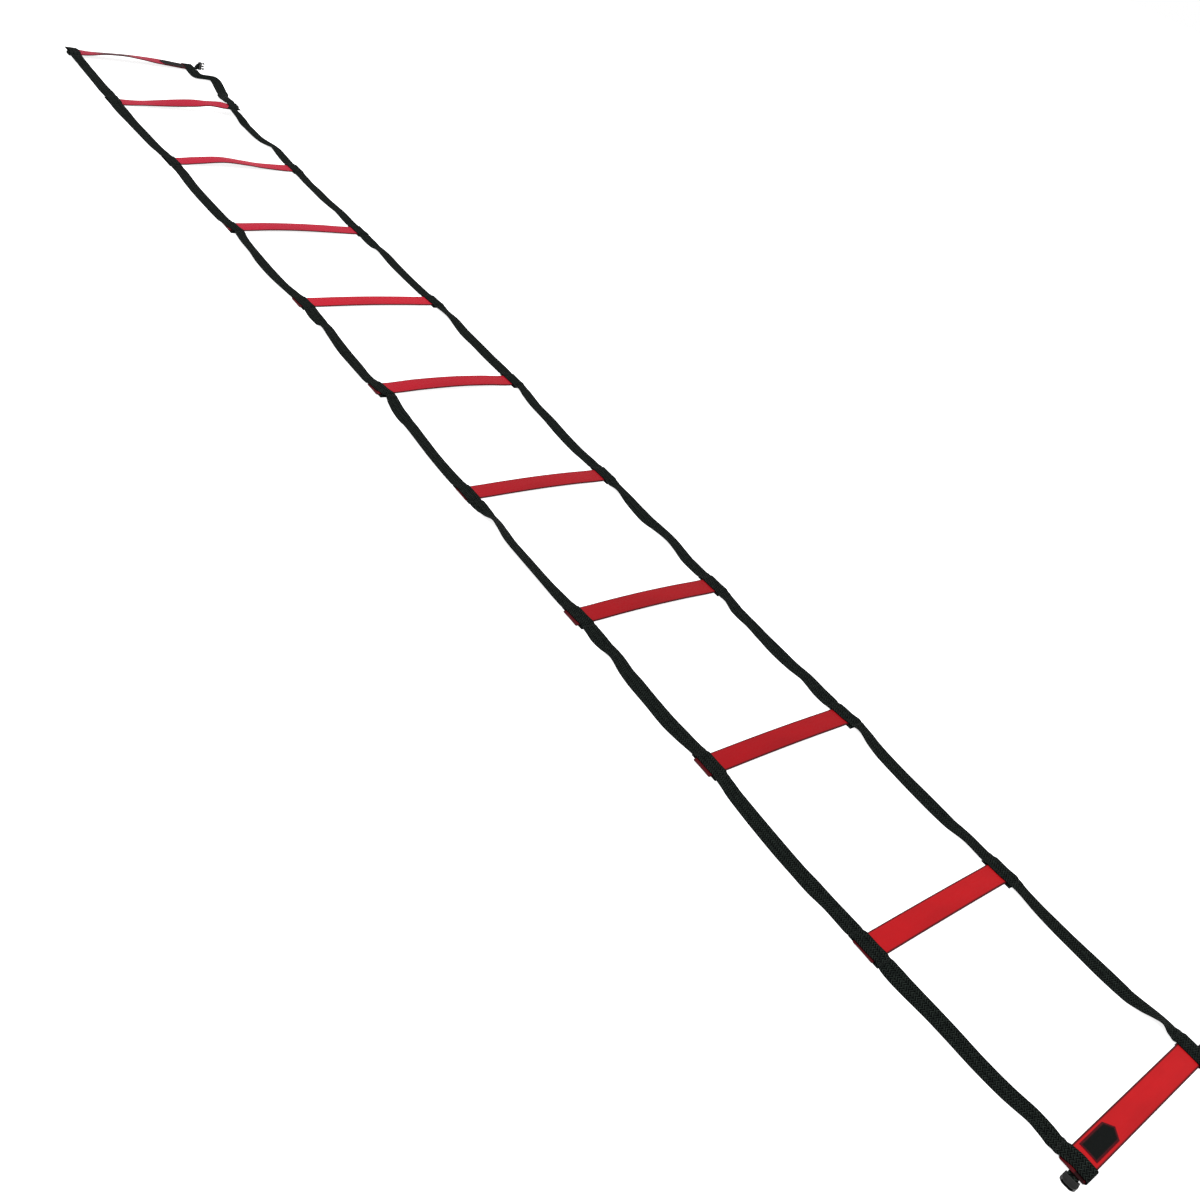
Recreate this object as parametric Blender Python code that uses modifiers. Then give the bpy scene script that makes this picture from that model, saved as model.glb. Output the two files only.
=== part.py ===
"""Agility ladder: eleven flat rungs between two webbing straps, with half a side-release
buckle on a webbing tab at each corner. Metres, +Z up, +Y from the near rung to the far one.

Rungs are numbered from the far end, 00, to the near end, 10. The ladder folds at the middle
of each bay, so each strap is a row of lengths that meet there.
"""

import math

import bmesh
import bpy
from mathutils import Matrix, Vector

# Ladder
RUNG_COUNT = 11
PITCH = 0.457
CLEAR_WIDTH = 0.386
LADDER_SET_X = -0.0076
LADDER_SET_Y = 0.0116
CLEARANCE = 0.0003

# Rungs: an extruded slat with a crown and a lip turned down along each long edge
RUNG_OVERHANG = 0.007
RUNG_TUCK = 0.001
RUNG_WIDTH = 0.050
RUNG_HEIGHT = 0.003
RUNG_WALL = 0.0016
RUNG_FILLET = 0.0004
RUNG_CROWN = 0.0008
RUNG_CORNER = 0.004

# Side straps
WEB_WIDTH = 0.038
WEB_THICKNESS = 0.0015
WEB_RAMP = 0.008
LIFTED_RAMP = 0.090
TAIL = 0.020
HEM_GAP = 0.0009

# Keepers
KEEPER_MARGIN = 0.012
KEEPER_EDGE = 0.0003

# How the ladder lies: sideways places are shares of the strap's width, lengthways ones of the pitch
RUNG_SIDE_SHARES = (-0.28, -0.42, -0.06, 0.0, 0.34, 0.28, -0.06, -0.12, -0.18, -0.28, 0.30)
RUNG_ALONG_SHARES = (-0.094, 0.0, -0.003, 0.005, 0.009, 0.024, 0.009, -0.002, -0.011, -0.017, 0.007)
BAY_LEFT_SHARES = (-0.26, -0.24, -0.20, -0.29, -0.21, -0.22, -0.12, -0.12, -0.24, -0.20)
BAY_RIGHT_SHARES = (0.70, -0.20, 0.0, 0.05, 0.07, -0.16, 0.13, -0.21, -0.16, -0.29)

# How each rung has warped, at places spread evenly from its left strap to its right one: its rise in
# shares of its width, and its twist in degrees, with the near edge up
RUNG_RISE_SHARES = (
    (0.0, 0.12, 0.19, 0.10, 0.0),
    (0.0, 0.10, 0.30, 0.46, 0.42),
    (0.0, 0.20, 0.24, 0.06, 0.0),
    (0.0, 0.09, 0.10, 0.06, 0.0),
    (0.0, 0.04, 0.06, 0.04, 0.0),
    (0.0, 0.11, 0.16, 0.12, 0.0),
    (0.0, 0.05, 0.08, 0.06, 0.0),
    (0.0, 0.07, 0.10, 0.07, 0.0),
    (0.0, 0.04, 0.06, 0.04, 0.0),
    (0.0, 0.03, 0.04, 0.03, 0.0),
    (0.0, 0.0, 0.0, 0.0, 0.0),
)
RUNG_TWISTS = (
    (0, 14, 10, -1, 0),
    (0, 3, -6, 1, 0),
    (0, 1, 4, 4, 0),
    (0, 1, 0, 0, 0),
    (0, 0, 0, 0, 0),
    (0, -1, 0, 0, 0),
    (0, 0, 0, 0, 0),
    (0, 0, 0, 0, 0),
    (0, 0, 0, 0, 0),
    (0, 0, 0, 0, 0),
    (0, 0, 0, 0, 0),
)

# Corner tabs
TAB_WIDTH = 0.020
TAB_ROOT = 0.040
TAB_YAW = math.radians(6)
NEAR_TAB_SET = 0.013
UNDER_SET = 0.007
TWIST_LENGTH = 0.010
TWIST_STEPS = 6

# Buckles: the two halves are made to the same bar, mouth and body
BAR_RADIUS = 0.0015
BAR_ROOM = 0.0005
RAIL_WIDTH = 0.0028
RAIL_END = 0.0025
SLOT_ROOM = 0.0007
BODY_BULGE = 0.0012
SOCKET_REACH = 0.0205
SOCKET_THICKNESS = 0.0085
SOCKET_REAR_THICKNESS = 0.0052
SOCKET_FLOOR = 0.0050
SOCKET_WALL = 0.0027
MOUTH_HEIGHT = 0.0046
MOUTH_DRAW = 0.0060
WINDOW_START = 0.0088
WINDOW_LENGTH = 0.0067
PLUG_BASE = 0.0100
PLUG_THICKNESS = 0.0050
CATCH_DROP = 0.0026
ARM_WIDTH = 0.0026
TONGUE_WIDTH = 0.0044
MOULD_EDGE = 0.0006

# Label
LABEL_LENGTH = 0.092
LABEL_WIDTH = 0.035
LABEL_POINT = 0.020
LABEL_THICKNESS = 0.0005
LABEL_MARGIN = 0.007

# Drawing
OVERRUN = 0.02
WELD = 0.00001
RAIL_ROUND_SHARE = 0.95
LOOP_TURN = 285
BAR_SIDES = 16
CORNER_STEPS = 4
ARC_STEPS = 6
RAMP_STEPS = 4
REACH_STEPS = 4
CROWN_STEPS = 3
WARP_STEPS = 6

# Worked out from the sizes above
MIDDLE = (RUNG_COUNT - 1) // 2
LAST = RUNG_COUNT - 1
HALF_WEB = WEB_THICKNESS / 2
LAYER = WEB_THICKNESS + CLEARANCE
HALF_CLEAR = CLEAR_WIDTH / 2
HALF_RUNG = RUNG_WIDTH / 2
RUNG_SHOULDER = RUNG_WALL + RUNG_FILLET
KEEPER_LENGTH = RUNG_WIDTH + 2 * KEEPER_MARGIN
HALF_KEEPER = KEEPER_LENGTH / 2
STRAP_OFFSET = HALF_CLEAR + WEB_WIDTH / 2
BAR_LENGTH = TAB_WIDTH + 2 * BAR_ROOM
BODY_WIDTH = BAR_LENGTH + 2 * RAIL_WIDTH
MOUTH_WIDTH = BODY_WIDTH - 2 * SOCKET_WALL
RING_RADIUS = BAR_RADIUS + CLEARANCE + HALF_WEB
RING_OUTER = RING_RADIUS + HALF_WEB
SLOT_DEPTH = RING_OUTER + SLOT_ROOM
PLUG_LIE = RING_OUTER + CLEARANCE
LIFT_SLOPE = (PLUG_LIE + PLUG_THICKNESS / 2 + CLEARANCE) / (STRAP_OFFSET + HALF_CLEAR)
SOCKET_TURN = SOCKET_THICKNESS / 2 + CLEARANCE
NEAR_BAR_SET = SOCKET_TURN / math.cos(TAB_YAW) + BODY_WIDTH / 2 * math.tan(TAB_YAW)
LEFT, RIGHT = -1, 1
SIDE_NAMES = {LEFT: "left", RIGHT: "right"}
BAY_SHARES = {LEFT: BAY_LEFT_SHARES, RIGHT: BAY_RIGHT_SHARES}
END_REACH = {LEFT: HALF_CLEAR + WEB_WIDTH + RUNG_OVERHANG, RIGHT: HALF_CLEAR + WEB_WIDTH - RUNG_TUCK}


def clear_scene():
    """Removes every object the file opens with."""
    for found in list(bpy.data.objects):
        bpy.data.objects.remove(found, do_unlink=True)


def collection(name):
    """A collection linked to the scene."""
    made = bpy.data.collections.new(name)
    bpy.context.scene.collection.children.link(made)
    return made


def finish(name, colour, roughness):
    """A dielectric finish."""
    made = bpy.data.materials.new(name)
    made.use_nodes = True
    shader = made.node_tree.nodes["Principled BSDF"]
    shader.inputs["Base Color"].default_value = (*colour, 1)
    shader.inputs["Roughness"].default_value = roughness
    shader.inputs["Metallic"].default_value = 0
    made.diffuse_color = (*colour, 1)
    return made


def rung_finish():
    """Red extruded plastic."""
    return finish("red_slat", (0.56, 0.02, 0.03), 0.45)


def webbing_finish():
    """Black woven polypropylene."""
    return finish("black_webbing", (0.012, 0.014, 0.014), 0.75)


def buckle_finish():
    """Black moulded acetal."""
    return finish("black_buckle", (0.01, 0.01, 0.01), 0.35)


def label_finish():
    """Black sewn patch."""
    return finish("black_patch", (0.015, 0.018, 0.018), 0.6)


def smooth(share):
    """Eases from 0 to 1, flat at both ends."""
    kept = min(max(share, 0), 1)
    return kept * kept * (3 - 2 * kept)


def rung_centre(index):
    """Where a rung's middle stands on the ground, as x and y."""
    x = LADDER_SET_X + RUNG_SIDE_SHARES[index] * WEB_WIDTH
    y = LADDER_SET_Y + (MIDDLE - index + RUNG_ALONG_SHARES[index]) * PITCH
    return x, y


def bay_middle(bay):
    """Where the bay between two rungs folds, along Y."""
    return (rung_centre(bay)[1] + rung_centre(bay + 1)[1]) / 2


def is_end(index):
    """Whether a rung is the first or the last."""
    return index in (0, LAST)


def base_height(index):
    """How high a rung's underside lies: on a keeper, or on the strap's return and a tab."""
    return 2 * LAYER if is_end(index) else LAYER


def rung_end(index, side):
    """Where a rung ends, beyond or just inside its strap's outer edge."""
    return rung_centre(index)[0] + side * END_REACH[side]


def read_row(row, share):
    """A smooth line through evenly spaced values, level at both ends."""
    last = len(row) - 1
    place = min(max(share, 0), 1) * last
    at = min(int(place), last - 1)
    along = place - at
    leave = (row[at + 1] - row[at - 1]) / 2 if at else 0
    arrive = (row[at + 2] - row[at]) / 2 if at + 1 < last else 0
    gained = row[at + 1] - row[at]
    bend = along * (1 - along) * ((1 - along) * (leave - gained) - along * (arrive - gained))
    return row[at] + gained * along + bend


def clear_share(index, x):
    """How far across the clear width a place is, from 0 at the left strap to 1 at the right one."""
    return (x - rung_centre(index)[0]) / CLEAR_WIDTH + 1 / 2


def lift(index, x):
    """How far a rung rises there: its warp, and for the far rung the plug folded under its left end."""
    warp = RUNG_WIDTH * read_row(RUNG_RISE_SHARES[index], clear_share(index, x))
    propped = 0 if index else LIFT_SLOPE * (rung_end(index, RIGHT) - x)
    return warp + propped


def twist(index, x):
    """How far a rung is turned about its own length there."""
    return math.radians(read_row(RUNG_TWISTS[index], clear_share(index, x)))


def strap_ramp(index, side):
    """How far past the keeper a strap comes down to the ground: farther from a raised end."""
    raised = index == 0 or RUNG_RISE_SHARES[index][0 if side == LEFT else -1]
    return LIFTED_RAMP if raised else WEB_RAMP


def strap_lay(index, side, y):
    """The middle of a strap across the ladder, near a rung, for a place along it."""
    rung_x, rung_y = rung_centre(index)
    near_bay = y < rung_y
    bay = index if near_bay else index - 1
    if bay < 0 or bay >= LAST:
        return rung_x + side * STRAP_OFFSET
    other = rung_centre(bay + 1 if near_bay else bay)[0]
    across = (rung_x + other) / 2 + BAY_SHARES[side][bay] * WEB_WIDTH
    share = abs(y - rung_y) / abs(bay_middle(bay) - rung_y)
    return rung_x + side * STRAP_OFFSET + (across - rung_x) * smooth(share)


def grid_object(name, rows, target, material):
    """An open surface through rows of points."""
    mesh = bpy.data.meshes.new(name)
    shape = bmesh.new()
    lines = [[shape.verts.new(point) for point in row] for row in rows]
    for low, high in zip(lines, lines[1:]):
        for first in range(len(low) - 1):
            shape.faces.new((low[first], low[first + 1], high[first + 1], high[first]))
    bmesh.ops.recalc_face_normals(shape, faces=shape.faces)
    shape.to_mesh(mesh)
    shape.free()
    made = bpy.data.objects.new(name, mesh)
    made.data.materials.append(material)
    target.objects.link(made)
    return made


def thicken(made, thickness, offset):
    """Gives an open surface its thickness, on one side of it or on both."""
    solid = made.modifiers.new("Solidify", "SOLIDIFY")
    solid.thickness = thickness
    solid.offset = offset
    solid.use_even_offset = True
    solid.use_quality_normals = True


def hump_height(index, side, distance):
    """A strap's middle layer beside a rung: over the rung, down to the keeper, down to the ground."""
    shelf = base_height(index)
    rise = RUNG_HEIGHT + CLEARANCE
    off_keeper = smooth((distance - HALF_KEEPER) / strap_ramp(index, side))
    off_rung = smooth((distance - HALF_RUNG) / WEB_RAMP)
    return HALF_WEB + shelf * (1 - off_keeper) + rise * (1 - off_rung)


def lift_share(distance):
    """How much of a rung's rise its strap still has at a distance from it."""
    return 1 - smooth((distance - HALF_KEEPER) / LIFTED_RAMP)


def reach_stations(index, side, far_distance):
    """The distances from a rung at which its strap is drawn, out to the middle of the bay."""
    ramp = strap_ramp(index, side)
    steps = [HALF_RUNG + WEB_RAMP * step / RAMP_STEPS for step in range(RAMP_STEPS + 1)]
    steps += [HALF_KEEPER + ramp * step / RAMP_STEPS for step in range(RAMP_STEPS + 1)]
    start = steps[-1]
    run = far_distance - start
    steps += [start + run * step / REACH_STEPS for step in range(1, REACH_STEPS + 1)]
    return steps


def reach(index, side, towards):
    """A strap's stations from a rung to the middle of a bay: x, y, z and share of the lift."""
    rung_y = rung_centre(index)[1]
    bay = index if towards < 0 else index - 1
    far_distance = abs(bay_middle(bay) - rung_y) - CLEARANCE / 2
    stations = []
    for distance in reach_stations(index, side, far_distance):
        y = rung_y + towards * distance
        x = strap_lay(index, side, y)
        stations.append((x, y, hump_height(index, side, distance), lift_share(distance)))
    return stations


def arc_points(centre, radius, start, end, steps):
    """Points on an arc in its own plane, from one angle to another."""
    angles = [start + (end - start) * step / steps for step in range(steps + 1)]
    return [(centre[0] + radius * math.cos(a), centre[1] + radius * math.sin(a)) for a in angles]


def wrapped_end(index, side, towards):
    """A strap's end wrapped round the last rung and back under it, as stations from the top."""
    rung_x, rung_y = rung_centre(index)
    top = HALF_WEB + base_height(index) + RUNG_HEIGHT + CLEARANCE
    has_tail = index == 0 and side == LEFT
    if has_tail:
        radius = (WEB_THICKNESS + HEM_GAP) / 2
        centre = HALF_RUNG + TAIL - radius
        fall = top - HALF_WEB - 2 * radius
        drop = [(HALF_RUNG + WEB_RAMP * step / RAMP_STEPS, top - fall * smooth(step / RAMP_STEPS))
                for step in range(RAMP_STEPS + 1)]
    else:
        radius = (top - HALF_WEB) / 2
        centre = HALF_RUNG - HALF_WEB
        drop = []
    turn = arc_points((centre, HALF_WEB + radius), radius, math.pi / 2, -math.pi / 2, 2 * ARC_STEPS)
    inner_end = [(-HALF_KEEPER, HALF_WEB)]
    x = rung_x + side * STRAP_OFFSET
    return [(x, rung_y + towards * d, z, 1) for d, z in drop + turn + inner_end]


def strap_rows(index, stations):
    """Rows of two points across the strap for each station."""
    rows = []
    for x, y, z, share in stations:
        ends = (x - WEB_WIDTH / 2, x + WEB_WIDTH / 2)
        rows.append([Vector((edge, y, z + share * lift(index, edge))) for edge in ends])
    return rows


def make_strap(index, side, target, material):
    """One length of side strap, from the middle of one bay to the middle of the next."""
    near = wrapped_end(index, side, -1) if index == LAST else reach(index, side, -1)
    far = wrapped_end(index, side, 1) if index == 0 else reach(index, side, 1)
    name = f"strap_{SIDE_NAMES[side]}_{index:02d}"
    made = grid_object(name, strap_rows(index, near[::-1] + far), target, material)
    thicken(made, WEB_THICKNESS, 0)
    return made


def crown_drop(y):
    """How far the slat's top falls away from its middle line."""
    return RUNG_CROWN * (y / HALF_RUNG) ** 2


def slat_section():
    """Half of a rung's outside section, from its middle line to the foot of its lip, as y and z."""
    flat = HALF_RUNG - RUNG_SHOULDER
    crown = [(flat * step / CROWN_STEPS, RUNG_HEIGHT - crown_drop(flat * step / CROWN_STEPS))
             for step in range(CROWN_STEPS + 1)]
    centre = (flat, RUNG_HEIGHT - crown_drop(flat) - RUNG_SHOULDER)
    shoulder = arc_points(centre, RUNG_SHOULDER, math.pi / 2, 0, CROWN_STEPS)[1:]
    return crown + shoulder + [(HALF_RUNG, 0)]


def corner_inset(y):
    """How far a slat's end is drawn in by its rounded corner."""
    past = abs(y) - (HALF_RUNG - RUNG_CORNER)
    if past <= 0:
        return 0
    return RUNG_CORNER - math.sqrt(max(RUNG_CORNER ** 2 - past ** 2, 0))


def slat_columns(index):
    """The places between a rung's ends at which its section is drawn, if it has warped."""
    if not any(RUNG_RISE_SHARES[index]):
        return []
    left_edge = rung_centre(index)[0] - HALF_CLEAR
    return [left_edge + CLEAR_WIDTH * step / WARP_STEPS for step in range(WARP_STEPS + 1)]


def warped(index, x, y, z):
    """A point of a rung's section at a place along it, after the rung's twist and rise."""
    middle_y = rung_centre(index)[1]
    turn = twist(index, x)
    across = y * math.cos(turn) + z * math.sin(turn)
    height = z * math.cos(turn) - y * math.sin(turn)
    return Vector((x, middle_y + across, base_height(index) + lift(index, x) + height))


def slat_rows(index):
    """Rows of points along a rung, from one lip's foot over the crown to the other's."""
    half = slat_section()
    flat = HALF_RUNG - RUNG_CORNER
    kept = [place for place in half if place[0] < flat]
    corner = [(flat, RUNG_HEIGHT - crown_drop(flat))]
    rest = [place for place in half if place[0] > flat]
    side = kept + corner + rest
    section = [(-y, z) for y, z in side[:0:-1]] + side
    rows = []
    for y, z in section:
        start = rung_end(index, LEFT) + corner_inset(y)
        end = rung_end(index, RIGHT) - corner_inset(y)
        rows.append([warped(index, x, y, z) for x in (start, *slat_columns(index), end)])
    return rows


def make_rung(index, target, material):
    """One rung as it lies, warped and hollow underneath."""
    made = grid_object(f"rung_{index:02d}", slat_rows(index), target, material)
    thicken(made, RUNG_WALL, -1)
    return made


def make_keeper(index, side, target, material):
    """The webbing patch sewn under one rung end."""
    mesh = bpy.data.meshes.new(f"keeper_{index}")
    shape = bmesh.new()
    size = Matrix.Diagonal((WEB_WIDTH, KEEPER_LENGTH, WEB_THICKNESS, 1))
    bmesh.ops.create_cube(shape, size=1, matrix=size)
    shape.to_mesh(mesh)
    shape.free()
    made = bpy.data.objects.new(f"keeper_{SIDE_NAMES[side]}_{index:02d}", mesh)
    made.data.materials.append(material)
    target.objects.link(made)
    x, y = rung_centre(index)
    x += side * STRAP_OFFSET
    made.location = (x, y, HALF_WEB + lift(index, x))
    edge = made.modifiers.new("Selvage", "BEVEL")
    edge.width = KEEPER_EDGE
    edge.segments = 1
    return made


def make_label(target, material):
    """The pointed patch on the near rung's left end, following the slat's crown."""
    x, y = rung_centre(LAST)
    strap_edge = x - HALF_CLEAR
    start = strap_edge + LABEL_MARGIN
    square = start + LABEL_LENGTH - LABEL_POINT
    rows = []
    for step in range(-CROWN_STEPS, CROWN_STEPS + 1):
        across = LABEL_WIDTH / 2 * step / CROWN_STEPS
        top = base_height(LAST) + RUNG_HEIGHT - crown_drop(across) + CLEARANCE
        point = square + LABEL_POINT * (1 - abs(step) / CROWN_STEPS)
        rows.append([Vector((place, y + across, top)) for place in (start, point)])
    made = grid_object("label_patch", rows, target, material)
    thicken(made, LABEL_THICKNESS, 1)
    return made


def ring_path(centre, radius, start, end):
    """The loop of webbing round a buckle's bar."""
    return arc_points(centre, radius, start, end, 2 * ARC_STEPS)


def tab_rows(path, width_way):
    """Rows of two points across a tab that keeps one width direction."""
    half = width_way * (TAB_WIDTH / 2)
    return [[point - half, point + half] for point in path]


def make_flat_tab(side, target, material):
    """A near corner's tab: flat under the rung, round the socket's bar and back down to itself."""
    leg = HALF_WEB + LAYER
    bar = near_bar_height()
    centre = (NEAR_BAR_SET, bar)
    start = math.radians(-90)
    loop = ring_path(centre, RING_RADIUS, start, start + math.radians(LOOP_TURN))
    path = [(-TAB_ROOT, leg), (0, leg), *loop]
    points = [Vector((u, 0, z)) for u, z in path]
    made = grid_object(f"tab_near_{SIDE_NAMES[side]}", tab_rows(points, Vector((0, 1, 0))), target,
                       material)
    thicken(made, WEB_THICKNESS, 0)
    made.location = near_root(side)
    made.rotation_euler.z = near_heading(side)
    return made


def near_root(side):
    """Where a near tab comes clear of both the rung and the strap, on the ground."""
    x, y = rung_centre(LAST)
    reach = max(END_REACH[side], HALF_CLEAR + WEB_WIDTH)
    return Vector((x + side * reach, y - NEAR_TAB_SET, 0))


def near_bar_height():
    """How high a socket's bar lies, with the socket just clear of the ground."""
    return SOCKET_THICKNESS / 2 + CLEARANCE


def near_heading(side):
    """The way a near buckle points, turned from the rung's line towards the near end."""
    return -TAB_YAW if side == RIGHT else math.pi + TAB_YAW


def under_root():
    """Where the far left tab starts to fold under, inside the rung's end."""
    return rung_end(0, LEFT) + UNDER_SET


def under_bar_set():
    """How far beyond its root the folded plug's bar lies."""
    return PLUG_THICKNESS / 2 + CLEARANCE


def make_under_tab(target, material):
    """The far left tab: out from under the rung, down and back in under it, round the plug's bar."""
    end_x = under_root()
    leg = HALF_WEB + LAYER + lift(0, end_x)
    root = HALF_WEB + LAYER + lift(0, end_x + TAB_ROOT)
    bar_set = under_bar_set()
    loop = ring_path((bar_set, PLUG_LIE), RING_RADIUS, 0, -math.radians(LOOP_TURN))
    outer = bar_set + RING_RADIUS
    bend = [(outer / 2, leg), (outer, (leg + PLUG_LIE) / 2 + WEB_THICKNESS)]
    path = [(-TAB_ROOT, root), (0, leg), *bend, *loop]
    points = [Vector((u, 0, z)) for u, z in path]
    made = grid_object("tab_far_left", tab_rows(points, Vector((0, 1, 0))), target, material)
    thicken(made, WEB_THICKNESS, 0)
    made.location = (end_x, rung_centre(0)[1], 0)
    made.rotation_euler.z = math.pi
    return made


def upright_bar():
    """Where the standing plug's bar is: how far beyond the rung's end, and how high."""
    return TWIST_LENGTH + RING_OUTER, BODY_WIDTH / 2 + CLEARANCE


def make_twisted_tab(target, material):
    """The far right tab: flat under the rung, twisted on edge beyond it, round an upright bar."""
    end_x = rung_end(0, RIGHT)
    leg = HALF_WEB + LAYER
    bar_set, bar_height = upright_bar()
    rows = []
    for u, turn in [(-TAB_ROOT, 0)] + [(TWIST_LENGTH * step / TWIST_STEPS, step / TWIST_STEPS)
                                       for step in range(TWIST_STEPS + 1)]:
        angle = math.pi / 2 * smooth(turn)
        way = Vector((0, math.cos(angle), math.sin(angle)))
        drift = RING_RADIUS * smooth(turn)
        height = leg + lift(0, end_x + u) + (bar_height - leg) * smooth(turn)
        middle = Vector((u, -drift, height))
        rows.append([middle - way * (TAB_WIDTH / 2), middle + way * (TAB_WIDTH / 2)])
    loop = ring_path((bar_set, 0), RING_RADIUS, -math.pi / 2, math.radians(LOOP_TURN) - math.pi / 2)
    rows += tab_rows([Vector((u, v, bar_height)) for u, v in loop], Vector((0, 0, 1)))
    made = grid_object("tab_far_right", rows, target, material)
    thicken(made, WEB_THICKNESS, 0)
    made.location = (end_x, rung_centre(0)[1], 0)
    return made


def rounded(corners):
    """An outline through corners given as x, y and radius, each rounded by an arc."""
    outline = []
    for place, (x, y, radius) in enumerate(corners):
        here = Vector((x, y))
        before = Vector(corners[place - 1][:2]) - here
        after = Vector(corners[(place + 1) % len(corners)][:2]) - here
        if not radius:
            outline.append((x, y))
            continue
        half = before.angle(after) / 2
        cut = min(radius / math.tan(half), before.length / 2, after.length / 2)
        drawn = cut * math.tan(half)
        middle = here + (before.normalized() + after.normalized()).normalized() * (drawn / math.sin(half))
        start = here + before.normalized() * cut - middle
        sweep = start.angle_signed(here + after.normalized() * cut - middle)
        first = math.atan2(start.y, start.x)
        outline += arc_points(middle, drawn, first, first - sweep, CORNER_STEPS)
    return outline


def plate(name, outline, thickness):
    """A mesh object of a flat outline, thick both ways from its own plane."""
    curve = bpy.data.curves.new(name, "CURVE")
    curve.dimensions = "2D"
    curve.fill_mode = "BOTH"
    curve.extrude = thickness / 2
    line = curve.splines.new("POLY")
    line.points.add(len(outline) - 1)
    for point, (x, y) in zip(line.points, outline):
        point.co = (x, y, 0, 1)
    line.use_cyclic_u = True
    guide = bpy.data.objects.new(f"{name}_outline", curve)
    bpy.context.scene.collection.objects.link(guide)
    bpy.context.view_layer.update()
    found = bpy.context.evaluated_depsgraph_get()
    mesh = bpy.data.meshes.new_from_object(guide.evaluated_get(found))
    bpy.data.objects.remove(guide)
    shape = bmesh.new()
    shape.from_mesh(mesh)
    bmesh.ops.remove_doubles(shape, verts=shape.verts, dist=WELD)
    bmesh.ops.recalc_face_normals(shape, faces=shape.faces)
    shape.to_mesh(mesh)
    shape.free()
    return bpy.data.objects.new(name, mesh)


def block(name, low, high):
    """A box between two corners."""
    mesh = bpy.data.meshes.new(name)
    shape = bmesh.new()
    low, high = Vector(low), Vector(high)
    place = Matrix.Translation((low + high) / 2) @ Matrix.Diagonal((*(high - low), 1))
    bmesh.ops.create_cube(shape, size=1, matrix=place)
    shape.to_mesh(mesh)
    shape.free()
    return bpy.data.objects.new(name, mesh)


def round_bar(name):
    """The bar that the webbing goes round, along Y, let into both rails."""
    mesh = bpy.data.meshes.new(name)
    shape = bmesh.new()
    bmesh.ops.create_cone(shape, cap_ends=True, segments=BAR_SIDES, radius1=BAR_RADIUS,
                          radius2=BAR_RADIUS, depth=BAR_LENGTH + RAIL_WIDTH)
    bmesh.ops.rotate(shape, verts=shape.verts, matrix=Matrix.Rotation(math.pi / 2, 3, "X"))
    shape.to_mesh(mesh)
    shape.free()
    return bpy.data.objects.new(name, mesh)


def combine(base, tool, operation, cutters):
    """Adds a Boolean with another mesh, kept among the cutters."""
    cutters.objects.link(tool)
    tool.hide_render = True
    tool.display_type = "WIRE"
    step = base.modifiers.new(tool.name, "BOOLEAN")
    step.operation = operation
    step.object = tool
    return step


def rounded_edges(base):
    """Rounds a moulding's edges."""
    edge = base.modifiers.new("Edges", "BEVEL")
    edge.width = MOULD_EDGE
    edge.segments = 1
    edge.limit_method = "ANGLE"
    edge.angle_limit = math.radians(50)


def mirrored(half):
    """A closed outline from its upper half, given from the tip back to the rear."""
    return half + [(x, -y, radius) for x, y, radius in half[::-1]]


def socket_plan():
    """The socket seen from above: rails, swelling sides and a domed mouth."""
    half = BODY_WIDTH / 2
    dome = SOCKET_REACH - MOUTH_DRAW
    return mirrored([
        (SOCKET_REACH, MOUTH_WIDTH / 2 - MOUTH_DRAW / 2, MOUTH_DRAW),
        (dome, half + BODY_BULGE, MOUTH_DRAW),
        (SLOT_DEPTH + RAIL_END, half + BODY_BULGE / 2, MOUTH_DRAW),
        (-RAIL_END, half, RAIL_END * RAIL_ROUND_SHARE),
    ])


def socket_side():
    """The socket seen from the side: thin at the bar, full at the middle, eased at the mouth."""
    rear, full = SOCKET_REAR_THICKNESS / 2, SOCKET_THICKNESS / 2
    return mirrored([
        (SOCKET_REACH + MOULD_EDGE, rear + MOULD_EDGE, MOULD_EDGE),
        (SOCKET_REACH - MOUTH_DRAW, full, MOUTH_DRAW),
        (SLOT_DEPTH + RAIL_END, full, MOUTH_DRAW),
        (-RAIL_END, rear, rear * RAIL_ROUND_SHARE),
    ])


def make_socket(side, target, cutters, material):
    """The female half: a hollow body with side windows, behind it a slot and the bar."""
    name = f"buckle_female_near_{SIDE_NAMES[side]}"
    base = plate(name, rounded(socket_plan()), SOCKET_THICKNESS)
    base.data.materials.append(material)
    target.objects.link(base)
    rounded_edges(base)
    profile = plate(f"{name}_profile", rounded(socket_side()), BODY_WIDTH + 2 * OVERRUN)
    profile.data.transform(Matrix.Rotation(math.pi / 2, 4, "X"))
    combine(base, profile, "INTERSECT", cutters)
    half_bar, half_mouth = BAR_LENGTH / 2, MOUTH_WIDTH / 2
    window_end = WINDOW_START + WINDOW_LENGTH
    past_side = BODY_WIDTH / 2 + OVERRUN
    cuts = {
        "slot": ((-OVERRUN, -half_bar, -OVERRUN), (SLOT_DEPTH, half_bar, OVERRUN)),
        "mouth": ((SOCKET_FLOOR + RAIL_END, -half_mouth, -MOUTH_HEIGHT / 2),
                  (SOCKET_REACH + OVERRUN, half_mouth, MOUTH_HEIGHT / 2)),
        "windows": ((WINDOW_START, -past_side, -MOUTH_HEIGHT / 2),
                    (window_end, past_side, MOUTH_HEIGHT / 2)),
    }
    for cut, (low, high) in cuts.items():
        combine(base, block(f"{name}_{cut}", low, high), "DIFFERENCE", cutters)
    combine(base, round_bar(f"{name}_bar"), "UNION", cutters)
    place_buckle(base, socket_place(side))
    return base


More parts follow.
